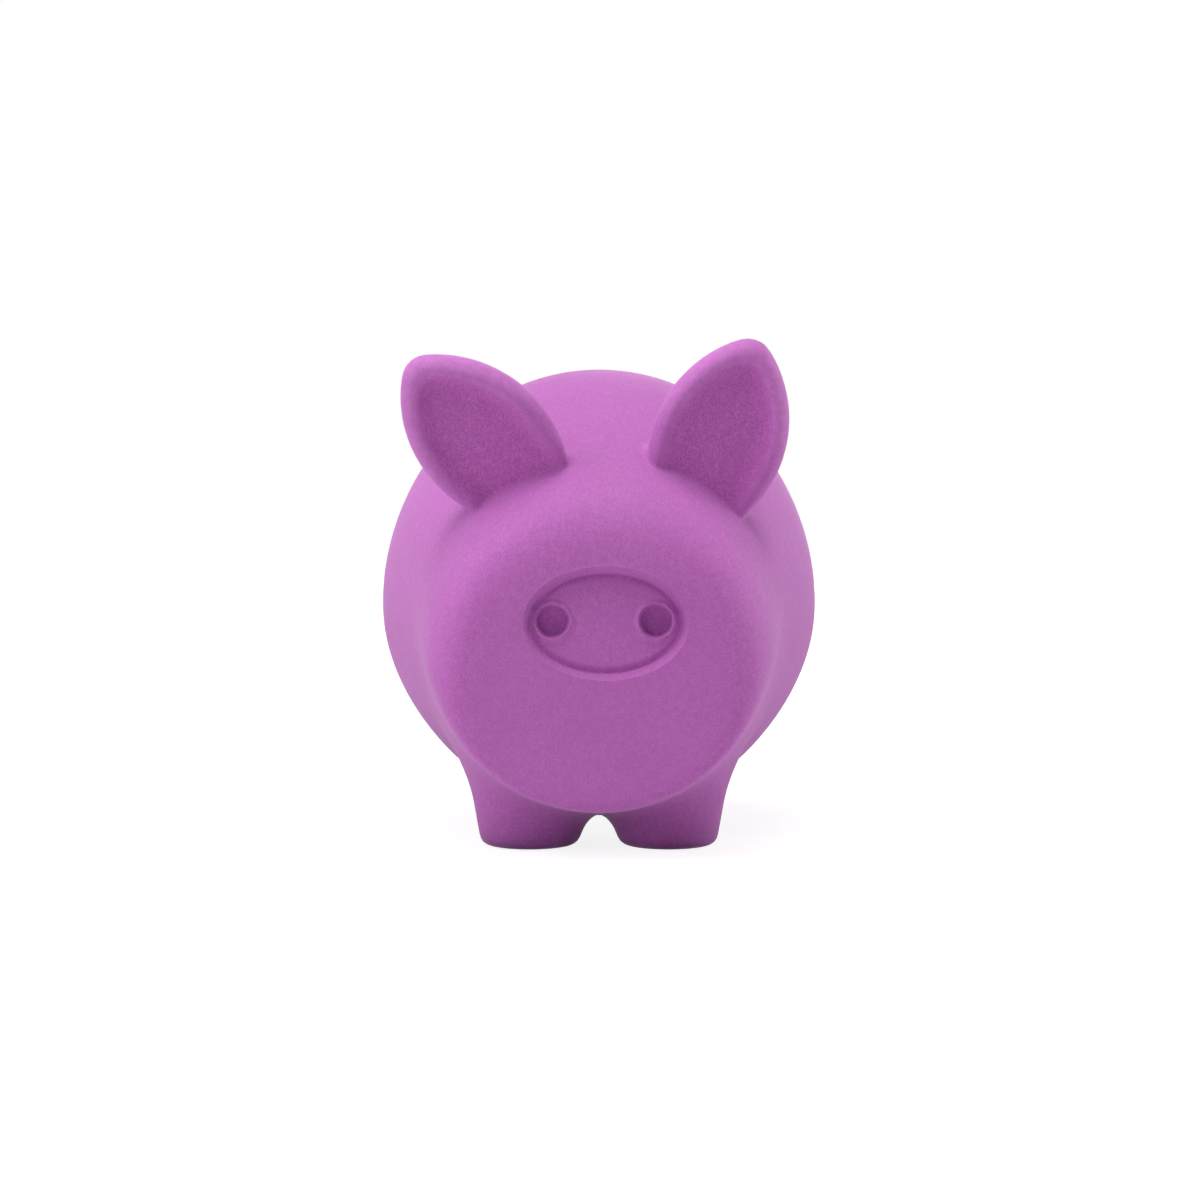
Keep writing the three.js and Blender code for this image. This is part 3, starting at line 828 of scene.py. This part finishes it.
@dataclass(frozen=True)
class Latex:
    """Matte, powdery latex with a fine grain, soft mottling and a few pale specks, with painted
    shade in the ear cups and painted light on the ear rims.
    """

    name: str = "latex"
    colour: Triple = (0.606, 0.180, 0.597)
    deep: Triple = (0.475, 0.104, 0.465)
    pale: Triple = (0.700, 0.330, 0.690)
    # Painted shade in the ear cups: a redder colour and more of the dark grain, as light bounced
    # about inside a cup is.
    painted_cup_shade: Triple = (0.665, 0.174, 0.612)
    # Painted light on the ear rims, which face the lamp above: a paler colour and less of the dark
    # grain.
    painted_rim_light: Triple = (0.705, 0.228, 0.690)
    roughness: float = 0.66
    roughness_change: float = 0.16
    specular: float = 0.32
    sheen: float = 0.21
    sheen_roughness: float = 0.5
    sheen_tint: Triple = (1.0, 0.86, 0.97)
    clouds: Noise = Noise(14.0, 3.0, 0.55, (0.32, 0.70))
    cloud_share: float = 0.16
    mottle: Noise = Noise(1.3, 1.0)
    mottle_share: float = 0.22
    grain: Noise = Noise(0.34, 2.0, 0.6)
    grain_share: float = 0.6
    # More dark grain in the painted shade of the ear cups, less in the painted light on the ear
    # rims.
    painted_cup_shade_grain: float = 0.4
    painted_rim_light_grain: float = 0.35
    speck_spacing: float = 1.5
    speck_edge: Span = (0.05, 0.13)
    speck_gate: Noise = Noise(2.1, 1.0, 0.5, (0.60, 0.66))
    speck_share: float = 0.45
    speck_height: float = 0.5
    bump_strength: float = 0.5
    bump_depth: float = 0.06

    def _specks(self, g: Graph, at: Wire) -> Wire:
        """Gives 1 on the few specks and 0 between them."""
        sockets = {"Vector": at, "Scale": 1.0 / (self.speck_spacing * MM)}
        cells = g.node("ShaderNodeTexVoronoi", {"feature": "F1"}, sockets, "Distance")
        gate = g.noise(at, self.speck_gate).ramp(*self.speck_gate.span)
        return (1.0 - cells.ramp(*self.speck_edge)) * gate

    def material(self) -> bpy.types.Material:
        """Builds the material, which reads from the skin where its ear cups take painted shade and
        its ear rims painted light.
        """
        material, g = new_material(self.name)
        at = g.place()
        clouds = g.noise(at, self.clouds).ramp(*self.clouds.span)
        grain = g.noise(at, self.grain)
        mottle = g.noise(at, self.mottle).ramp(*self.mottle.span)
        specks = self._specks(g, at)
        # The ear cups take painted shade and the ear rims painted light.
        painted_cup_shade, painted_rim_light = (
            g.node("ShaderNodeAttribute", {"attribute_name": tone}, {}, "Fac")
            for tone in ("painted_cup_shade", "painted_rim_light")
        )
        grain_share = self.grain_share + self.painted_cup_shade_grain * painted_cup_shade - self.painted_rim_light_grain * painted_rim_light
        base = rgba(self.colour)
        for share, tone in (
            (painted_cup_shade, self.painted_cup_shade),
            (painted_rim_light, self.painted_rim_light),
            (clouds * self.cloud_share, self.deep),
            (grain.ramp(*self.grain.span) * grain_share, self.deep),
            (mottle * self.mottle_share, self.deep),
            (specks * self.speck_share, self.pale),
        ):
            base = g.mix(share, base, rgba(tone))
        height = grain + self.speck_height * specks
        g.close(
            {
                "Base Color": base,
                "Roughness": self.roughness + (grain - 0.5) * self.roughness_change,
                "Normal": g.bump(height, self.bump_strength, self.bump_depth),
                "Specular IOR Level": self.specular,
                "Sheen Weight": self.sheen,
                "Sheen Roughness": self.sheen_roughness,
                "Sheen Tint": rgba(self.sheen_tint),
            }
        )
        return material


@dataclass(frozen=True)
class Fibre:
    """White polyester fibre, in loose strands."""

    name: str = "fibre"
    colour: Triple = (0.86, 0.85, 0.81)
    shade: Triple = (0.66, 0.65, 0.61)
    roughness: float = 0.95
    sheen: float = 0.3
    clumps: Noise = Noise(9.0, 3.0, 0.6, (0.3, 0.7))
    sway: Noise = Noise(6.0)
    sway_reach: float = 0.012
    strand_scale: float = 700.0
    strand_waver: float = 9.0
    strand_detail: float = 3.0
    strand_detail_scale: float = 0.7
    strand_share: float = 0.6
    bump_strength: float = 0.6
    bump_depth: float = 0.3

    def _strands(self, g: Graph, at: Wire) -> Wire:
        """Gives bands that sway, from 0 to 1."""
        sway = {0: g.noise(at, self.sway), "Scale": self.sway_reach}
        bent = g.node("ShaderNodeVectorMath", {"operation": "SCALE"}, sway)
        moved = g.node("ShaderNodeVectorMath", {"operation": "ADD"}, {0: at, 1: bent})
        settings = {"wave_type": "BANDS", "bands_direction": "DIAGONAL"}
        sockets = {
            "Vector": moved,
            "Scale": self.strand_scale,
            "Distortion": self.strand_waver,
            "Detail": self.strand_detail,
            "Detail Scale": self.strand_detail_scale,
        }
        return g.node("ShaderNodeTexWave", settings, sockets, "Fac")

    def material(self) -> bpy.types.Material:
        """Builds the material."""
        material, g = new_material(self.name)
        at = g.place()
        clumps = g.noise(at, self.clumps)
        strands = self._strands(g, at)
        shade = clumps.ramp(*self.clumps.span) * (1.0 - strands * self.strand_share)
        g.close(
            {
                "Base Color": g.mix(shade, rgba(self.colour), rgba(self.shade)),
                "Roughness": self.roughness,
                "Normal": g.bump(strands + clumps, self.bump_strength, self.bump_depth),
                "Sheen Weight": self.sheen,
            }
        )
        return material


@dataclass(frozen=True)
class Moulded:
    """Moulded plastic with a faint mottle and scuffs."""

    name: str
    colour: Triple
    shade: Triple
    roughness: float
    coat: float = 0.0
    roughness_change: float = 0.2
    clouds: Noise = Noise(5.0, 3.0, 0.55, (0.35, 0.75))
    cloud_share: float = 0.5
    grain: Noise = Noise(0.25)
    bump_strength: float = 0.12
    bump_depth: float = 0.03

    def material(self) -> bpy.types.Material:
        """Builds the material."""
        material, g = new_material(self.name)
        at = g.place()
        clouds, grain = g.noise(at, self.clouds), g.noise(at, self.grain)
        share = clouds.ramp(*self.clouds.span) * self.cloud_share
        g.close(
            {
                "Base Color": g.mix(share, rgba(self.colour), rgba(self.shade)),
                "Roughness": self.roughness + (clouds - 0.5) * self.roughness_change,
                "Normal": g.bump(grain, self.bump_strength, self.bump_depth),
                "Coat Weight": self.coat,
            }
        )
        return material


# Meshes


SHARP_ANGLE = math.radians(35)
LONGEST_EASE = 0.45


def make_piece(
    name: str,
    points: Points,
    faces: Iterable[Face],
    material: bpy.types.Material,
    normals: Optional[Points] = None,
    tones: Optional[dict[str, np.ndarray]] = None,
) -> bpy.types.Object:
    """Makes a smooth object from the points that its faces use.

    Args:
        name: The object's name.
        points: Points in millimetres.
        faces: Faces, as rows of point numbers.
        material: Its finish.
        normals: The surface's normal at each point, where it is known.
        tones: How much of each painted shade and painted light of the finish the points take, if
            any.

    Returns:
        The object, linked to the scene.
    """
    faces = list(faces)
    used = np.unique(np.concatenate([np.asarray(f) for f in faces]))
    label = np.full(len(points), -1)
    label[used] = np.arange(len(used))
    mesh = bpy.data.meshes.new(name)
    mesh.from_pydata((points[used] * MM).tolist(), [], [label[list(f)].tolist() for f in faces])
    mesh.materials.append(material)
    mesh.shade_smooth()
    if normals is not None:
        mesh.normals_split_custom_set_from_vertices(normals[used].tolist())
    for tone, share in (tones or {}).items():
        values = mesh.attributes.new(tone, "FLOAT", "POINT").data
        values.foreach_set("value", share[used].astype(np.float32))
    piece = bpy.data.objects.new(name, mesh)
    bpy.context.scene.collection.objects.link(piece)
    return piece


def make_turned(
    name: str, profile: Profile, y: float, material: bpy.types.Material, sides: int = 96
) -> bpy.types.Object:
    """Turns a closed profile about an upright axis.

    Args:
        name: The object's name.
        profile: Pairs of radius and height in millimetres, against the clock.
        y: Where the axis stands.
        material: Its finish.
        sides: How many sides it has.

    Returns:
        The object, with its sharp edges kept.
    """
    angle = 2 * math.pi * np.arange(sides) / sides
    across, along = np.cos(angle), np.sin(angle)
    rows = [np.stack([r * across, y + r * along, np.full(sides, z)], 1) for r, z in profile]
    points = np.concatenate(rows)
    faces = []
    for row in range(len(profile)):
        a, b = row * sides, (row + 1) % len(profile) * sides
        faces += [(a + i, a + (i + 1) % sides, b + (i + 1) % sides, b + i) for i in range(sides)]
    piece = make_piece(name, points, faces, material)
    piece.data.set_sharp_from_angle(angle=SHARP_ANGLE)
    return piece


def eased(profile: Profile, radius: float, steps: int = 3) -> Profile:
    """Rounds the corners of a closed profile.

    Args:
        profile: Its corners.
        radius: How far from a corner the rounding starts.
        steps: How many points a rounding has beyond its first.

    Returns:
        The rounded profile.
    """
    corners = np.asarray(profile, float)
    result = []
    for k, corner in enumerate(corners):
        ends = []
        for other in (corners[k - 1], corners[(k + 1) % len(corners)]):
            run = other - corner
            ends.append(corner + run * min(radius / np.linalg.norm(run), LONGEST_EASE))
        for t in np.linspace(0.0, 1.0, steps + 1):
            middle = 2 * t * (1 - t) * corner
            result.append(tuple((1 - t) ** 2 * ends[0] + middle + t * t * ends[1]))
    return result


# Sub-assemblies


@dataclass(frozen=True)
class Opening:
    """The round hole in the belly that the squeaker sits in, with its collar inside."""

    y: float = 3.0
    radius: float = 9.3
    seat_radius: float = 11.1
    seat_top: float = 6.7
    collar_radius: float = 13.8
    collar_top: float = 10.8
    collar_blend: float = 1.5
    bore_reach: float = 4.0
    easing: float = 0.5

    def across(self, p: Points) -> np.ndarray:
        """Gives how far points lie from the hole's upright axis."""
        return np.hypot(p[:, 0], p[:, 1] - self.y)

    def hole(self, p: Points) -> np.ndarray:
        """Gives the distance to the hole and to the flange's seat."""
        across, top = self.across(p), p[:, 2] - self.collar_top - self.bore_reach
        bore = smooth_max(across - self.radius, top, self.easing)
        seat = smooth_max(across - self.seat_radius, p[:, 2] - self.seat_top, self.easing)
        return np.minimum(bore, seat)

    def collar(self, p: Points) -> np.ndarray:
        """Gives the distance to the collar."""
        side = self.across(p) - self.collar_radius
        return smooth_max(side, p[:, 2] - self.collar_top, self.collar_blend)


@dataclass
class Skin:
    """The latex skin: a hollow trunk with solid legs, ears and tail, all of one moulding."""

    quality: Quality
    trunk: Trunk = field(default_factory=Trunk)
    opening: Opening = field(default_factory=Opening)
    front_leg_y: float = -29.0
    rear_leg_y: float = 28.0
    leg_blend: float = 6.0
    sole_blend: float = 1.5
    sole_lift: float = 0.268
    ear_blend: float = 2.6
    ear_back: float = 0.2
    crease_blend: float = 0.4
    crease_reach: float = 2.2
    crease_back: float = 1.0
    tail_blend: float = 1.2
    inner_blend: float = 1.0
    fine_cuts: int = 5
    crease_cuts: int = 2
    even_rounds: int = 3
    fine_draws: int = 3
    normal_step: float = 0.03
    box_low: Triple = (-44.0, -55.0, -4.0)
    box_high: Triple = (44.0, 55.0, 94.0)
    finish: Latex = field(default_factory=Latex)
    legs: list[LegPair] = field(init=False)
    ears: dict[str, Ear] = field(init=False)
    tail: Tail = field(init=False)
    snout: Snout = field(init=False)

    def __post_init__(self) -> None:
        """Sets the trunk's parts on it."""
        self.legs = [LegPair(self.front_leg_y), LegPair(self.rear_leg_y)]
        self.ears = {
            "ear_left": Ear(
                self.trunk,
                Hand.LEFT,
                lean=22.3,
                pitch=10.0,
                turn=5.0,
                spread=18.31,
                setback=16.8,
                sink=5.87,
            ),
            "ear_right": Ear(
                self.trunk,
                Hand.RIGHT,
                lean=45.2,
                pitch=10.0,
                turn=13.0,
                spread=13.67,
                setback=13.4,
                sink=4.44,
            ),
        }
        self.tail = Tail(self.trunk)
        self.snout = Snout(self.trunk)

    def outside(self, p: Points) -> np.ndarray:
        """Gives the distance to the outside, with a smooth face."""
        d = self.trunk.distance(p)
        for pair in self.legs:
            d = smooth_min(d, pair.distance(p), self.leg_blend)
        for ear in self.ears.values():
            behind = smooth_step(self.ear_back - 2.0 * ear.front(p) / ear.thickness)
            blend = self.crease_blend + (self.ear_blend - self.crease_blend) * behind
            d = smooth_min(d, ear.distance(p), blend)
        d = smooth_min(d, self.tail.distance(p), self.tail_blend)
        return smooth_max(d, -self.sole_lift - p[:, 2], self.sole_blend)

    def shell(self, p: Points) -> np.ndarray:
        """Gives the distance to the latex between the outside and the filling."""
        hollow = self.trunk.distance(p) + self.trunk.wall
        for filled in (self.opening.collar(p), self.snout.pad(p)):
            hollow = smooth_max(hollow, -filled, self.inner_blend)
        d = np.maximum(self.outside(p), -hollow)
        return smooth_max(d, -self.opening.hole(p), self.opening.easing)

    def pressed(self, p: Points) -> np.ndarray:
        """Gives the distance to the latex with the snout pressed into its face."""
        return self.shell(p - np.outer(self.snout.pressed(p), (0, 1, 0)))

    def _crease(self, p: Points) -> np.ndarray:
        """Tells which points lie where an ear's front meets the head."""
        on_head = np.abs(self.trunk.distance(p)) < self.crease_reach
        on_front = np.zeros(len(p), bool)
        for ear in self.ears.values():
            on_ear = np.abs(ear.distance(p)) < self.crease_reach
            on_front |= on_ear & (ear.front(p) > -self.crease_back)
        return on_head & on_front

    def _cast(self) -> tuple[Points, list[Face]]:
        """Casts the shell, more finely at the creases and the snout, and presses the snout in.

        Returns:
            The points and the faces.
        """
        net = Net.cast(self.shell, self.box_low, self.box_high, self.quality.value)
        net = net.relaxed(self.shell, self.even_rounds)
        work = bmesh.new()
        mesh = bpy.data.meshes.new("cast")
        mesh.from_pydata(net.points.tolist(), [], net.quads.tolist())
        work.from_mesh(mesh)
        bpy.data.meshes.remove(mesh)
        for fine, cuts in ((self.snout.fine, self.fine_cuts), (self._crease, self.crease_cuts)):
            marked = fine(np.array([v.co for v in work.verts], float))
            inner = [f for f in work.faces if all(marked[v.index] for v in f.verts)]
            edges = list(dict.fromkeys(e for f in inner for e in f.edges))
            bmesh.ops.subdivide_edges(work, edges=edges, cuts=cuts, use_grid_fill=True)
            work.verts.index_update()
        points = np.array([v.co for v in work.verts], float)
        faces = [tuple(v.index for v in f.verts) for f in work.faces]
        work.free()
        near = self.snout.fine(points) | self._crease(points)
        points[near] = settle(self.shell, points[near], self.fine_draws)
        near = self.snout.fine(points)
        points[near] += np.outer(self.snout.sunk(points[near]), (0, 1, 0))
        return points, faces

    def build(self) -> list[bpy.types.Object]:
        """Builds the skin and the two ears, split off from it as pieces of their own.

        Returns:
            The pieces.
        """
        points, faces = self._cast()
        normals = gradient(self.pressed, points, self.normal_step)
        normals /= np.maximum(np.linalg.norm(normals, axis=1), TINY)[:, None]
        material = self.finish.material()
        tones = {
            # Where the ear cups take painted shade and the ear rims painted light.
            "painted_cup_shade": sum(ear.hollow(points) for ear in self.ears.values()),
            "painted_rim_light": sum(ear.rim(points) for ear in self.ears.values()),
        }
        rest, pieces = faces, []
        for name, ear in self.ears.items():
            on_ear = ear.height(points) > ear.split_rise
            on_ear &= ear.distance(points) < ear.split_reach
            leaf = [f for f in rest if all(on_ear[v] for v in f)]
            rest = [f for f in rest if not all(on_ear[v] for v in f)]
            piece = make_piece(f"{name}_leaf", points, leaf, material, normals, tones)
            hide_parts(name)
            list(ear.bend())
            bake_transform(piece)
            pieces.append(piece)
        skin = make_piece("latex_skin", points, rest, material, normals, tones)
        nodes = ["body_skin", "head_skin", "tail"]
        for place in ("front", "rear"):
            nodes += [f"leg_{place}_{hand.name.lower()}" for hand in Hand]
        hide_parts(*nodes)
        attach(skin, "toy")
        return [skin, *pieces]


@dataclass
class Filling:
    """The fibre that fills the trunk, lumpy where it lies on the latex."""

    skin: Skin
    gap: float = 0.8
    lump: float = 1.1
    lump_size: float = 9.0
    swells: tuple[Triple, ...] = ((2.1, 1.3, 1.7), (1.9, 1.1, 2.3), (2.2, 1.2, 1.8))
    clearance: float = 0.5
    edge_blend: float = 1.0
    barrel_room: float = 10.0
    barrel_top: float = 20.3
    cell: float = 2.4
    even_rounds: int = 2
    box_low: Triple = (-42.0, -54.0, 0.0)
    box_high: Triple = (42.0, 52.0, 90.0)
    finish: Fibre = field(default_factory=Fibre)

    def distance(self, p: Points) -> np.ndarray:
        """Gives the distance to the fibre, with its lumps set inwards."""
        at, waves = (p / self.lump_size).T, np.zeros(len(p))
        for k, (pace, bend, bend_pace) in enumerate(self.swells):
            waves = waves + np.sin(pace * at[k] + bend * np.sin(bend_pace * at[k - 1]))
        lumps = self.lump * (0.5 + waves / (2 * len(self.swells)))
        skin = self.skin
        d = skin.trunk.distance(p) + skin.trunk.wall + self.gap + lumps
        for filled in (skin.opening.collar(p), skin.snout.pad(p)):
            d = smooth_max(d, self.clearance - filled, self.edge_blend)
        barrel = np.maximum(skin.opening.across(p) - self.barrel_room, p[:, 2] - self.barrel_top)
        return smooth_max(d, -barrel, self.edge_blend)

    def build(self) -> list[bpy.types.Object]:
        """Builds the filling.

        Returns:
            The piece.
        """
        net = Net.cast(self.distance, self.box_low, self.box_high, self.cell)
        net = net.relaxed(self.distance, self.even_rounds)
        faces = map(tuple, net.quads.tolist())
        piece = make_piece("fibre_stuffing", net.points, faces, self.finish.material())
        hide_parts("fibre_filling")
        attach(piece, "toy")
        return [piece]


@dataclass
class Squeaker:
    """The squeaker's plastic cup, pressed into the belly from below, with its cap and reed."""

    nodes: dict[str, bpy.types.Object]
    opening: Opening
    flange_radius: float = 10.8
    flange_bottom: float = 5.0
    flange_top: float = 6.4
    barrel_radius: float = 9.0
    barrel_wall: float = 1.2
    barrel_top: float = 20.0
    barb_bottom: float = 11.1
    barb_width: float = 0.7
    barb_height: float = 1.4
    ledge_width: float = 0.8
    bore_top: float = 18.0
    vent_radius: float = 2.4
    easing: float = 0.25
    plastic: Moulded = Moulded(
        "plastic", colour=(0.80, 0.78, 0.71), shade=(0.70, 0.68, 0.60), roughness=0.42
    )
    film: Moulded = Moulded(
        "film", colour=(0.66, 0.70, 0.74), shade=(0.58, 0.62, 0.68), roughness=0.25, coat=0.3
    )

    def _cup(self) -> Profile:
        """Gives the cup's profile, against the clock."""
        inner = self.barrel_radius - self.barrel_wall
        bore = inner - self.ledge_width
        return [
            (self.vent_radius, self.flange_bottom),
            (self.flange_radius, self.flange_bottom),
            (self.flange_radius, self.flange_top),
            (self.barrel_radius, self.flange_top),
            (self.barrel_radius, self.barb_bottom),
            (self.barrel_radius + self.barb_width, self.barb_bottom),
            (self.barrel_radius, self.barb_bottom + self.barb_height),
            (self.barrel_radius, self.barrel_top),
            (inner, self.barrel_top),
            (inner, self.bore_top),
            (bore, self.bore_top),
            (bore, self.flange_top),
            (self.vent_radius, self.flange_top),
        ]

    def build(self) -> list[bpy.types.Object]:
        """Builds the cup and dresses the pieces inside it.

        Returns:
            The cup.
        """
        plastic, film = self.plastic.material(), self.film.material()
        profile = eased(self._cup(), self.easing)
        cup = make_turned("squeaker_cup", profile, self.opening.y, plastic)
        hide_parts("squeaker_housing")
        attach(cup, "toy")
        for name in ("squeaker_cap", "reed_block", "reed_wedge", "reed"):
            data = self.nodes[name].data
            data.materials.clear()
            data.materials.append(film if name == "reed" else plastic)
        return [cup]


@dataclass(frozen=True)
class Lamp:
    """A square lamp: its place and its side in metres, and its power in watts."""

    name: str
    at: Triple
    size: float
    power: float
    colour: Triple = WHITE

    def hang(self, aim: Sequence[float]) -> None:
        """Hangs the lamp.

        Args:
            aim: The place that it faces.
        """
        light = bpy.data.lights.new(self.name, "AREA")
        light.shape = "SQUARE"
        light.size, light.energy, light.color = self.size, self.power, self.colour
        lamp = bpy.data.objects.new(self.name, light)
        lamp.location = self.at
        facing = Vector(aim) - Vector(self.at)
        lamp.rotation_euler = facing.to_track_quat("-Z", "Y").to_euler()
        bpy.context.scene.collection.objects.link(lamp)


@dataclass(frozen=True)
class Studio:
    """A pale floor, soft light from above and all sides, and the camera in front."""

    target: Triple = (0.2, 1.0, 42.0)
    elevation: float = 3.0
    distance: float = 600.0
    lens: float = 96.75
    sensor: float = 36.0
    clip: Span = (0.01, 50.0)
    world_strength: float = 0.02
    floor_reach: float = 6.0
    floor_painted_shade: float = 0.08
    # A dark floor under the toy, seen only by the light: painted shade on the legs and belly above
    # it.
    floor_around: float = 0.82
    floor_seen: float = 0.35
    floor_glow: float = 0.86
    painted_shade_edge: Span = (0.03, 0.065)
    glow_edge: Span = (0.1, 0.6)
    lamp_aim: Triple = (0.0, 0.0, 0.042)
    lamps: tuple[Lamp, ...] = (
        Lamp("top", (-0.05, -0.20, 0.74), 0.7, 2.5, (1.0, 0.99, 0.98)),
        Lamp("crown", (-0.03, -0.12, 0.75), 0.35, 1.8, (1.0, 1.0, 0.98)),
        Lamp("left", (-0.60, -0.10, 0.42), 0.6, 2.0),
        Lamp("left_low", (-0.66, -0.26, 0.04), 0.6, 0.6),
        Lamp("right", (0.70, 0.08, 0.02), 0.7, 4.0),
        Lamp("front", (-0.45, -0.78, 0.10), 0.6, 0.8, (0.88, 0.97, 1.0)),
        Lamp("back", (0.10, 0.90, 0.25), 0.6, 1.5),
    )

    def _seen(self, g: Graph) -> Wire:
        """Gives 1 to what the camera, a mirror or glass sees, and 0 to light."""
        path = g.node("ShaderNodeLightPath", {}, {}, "Is Camera Ray")
        node = path.socket.node
        others = [Wire(g, node.outputs[n]) for n in ("Is Glossy Ray", "Is Transmission Ray")]
        return (path + others[0] + others[1]).ramp(0.0, 1.0)

    def floor(self) -> None:
        """Lays a pale floor that keeps the shadow and looks white, and is dark under the toy for
        the light alone: painted shade that keeps bounced light off the legs and belly.
        """
        material, g = new_material("floor")
        # The floor under the toy is dark for the light alone: painted shade that keeps bounced
        # light off the legs and belly.
        under, around, seen = (
            g.node("ShaderNodeBsdfDiffuse", {}, {"Color": rgba((shade,) * 3)})
            for shade in (self.floor_painted_shade, self.floor_around, self.floor_seen)
        )
        away = g.node("ShaderNodeVectorMath", {"operation": "LENGTH"}, {0: g.place()}, "Value")
        share = away.ramp(*self.painted_shade_edge)
        plain = g.node("ShaderNodeMixShader", {}, {0: share, 1: under, 2: around})
        glow = g.mix(away.ramp(*self.glow_edge), rgba((self.floor_glow,) * 3), rgba(WHITE))
        light = g.node("ShaderNodeEmission", {}, {"Color": glow, "Strength": 1.0})
        lit = g.node("ShaderNodeAddShader", {}, {0: seen, 1: light})
        shader = g.node("ShaderNodeMixShader", {}, {0: self._seen(g), 1: plain, 2: lit})
        g.node("ShaderNodeOutputMaterial", {}, {"Surface": shader})
        mesh = bpy.data.meshes.new("floor")
        r = self.floor_reach
        mesh.from_pydata([(-r, -r, 0), (r, -r, 0), (r, r, 0), (-r, r, 0)], [], [(0, 1, 2, 3)])
        mesh.materials.append(material)
        floor = bpy.data.objects.new("floor", mesh)
        bpy.context.scene.collection.objects.link(floor)

    def world(self) -> None:
        """Fills the world with dim light that looks white."""
        world = bpy.data.worlds.new("studio")
        bpy.context.scene.world = world
        world.use_nodes = True
        g = Graph(world.node_tree)
        dim, white = (
            g.node("ShaderNodeBackground", {}, {"Color": rgba(WHITE), "Strength": strength})
            for strength in (self.world_strength, 1.0)
        )
        shader = g.node("ShaderNodeMixShader", {}, {0: self._seen(g), 1: dim, 2: white})
        g.node("ShaderNodeOutputWorld", {}, {"Surface": shader})

    def camera(self) -> None:
        """Sets the camera where the photograph was taken from."""
        data = bpy.data.cameras.new("camera")
        data.lens, data.sensor_width = self.lens, self.sensor
        data.clip_start, data.clip_end = self.clip
        camera = bpy.data.objects.new("camera", data)
        tilt = math.radians(self.elevation)
        away = Vector((0, -math.cos(tilt), math.sin(tilt)))
        camera.location = (Vector(self.target) + self.distance * away) * MM
        camera.rotation_euler = (-away).to_track_quat("-Z", "Y").to_euler()
        bpy.context.scene.collection.objects.link(camera)
        bpy.context.scene.camera = camera

    def build(self) -> None:
        """Sets up the camera, the floor and the light."""
        bpy.context.scene.view_settings.view_transform = "Standard"
        self.camera()
        self.floor()
        self.world()
        for lamp in self.lamps:
            lamp.hang(self.lamp_aim)


def main() -> None:
    """Builds the pig's pieces in order, and logs how many faces each has."""
    logging.basicConfig(level=logging.INFO, format="%(name)s: %(message)s")
    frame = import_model()
    Studio().build()
    skin = Skin(Quality.FULL)
    for part in (skin, Filling(skin), Squeaker(frame["nodes"], skin.opening)):
        for piece in part.build():
            LOG.info("%s has %d faces", piece.name, len(piece.data.polygons))


if __name__ == "__main__":
    main()
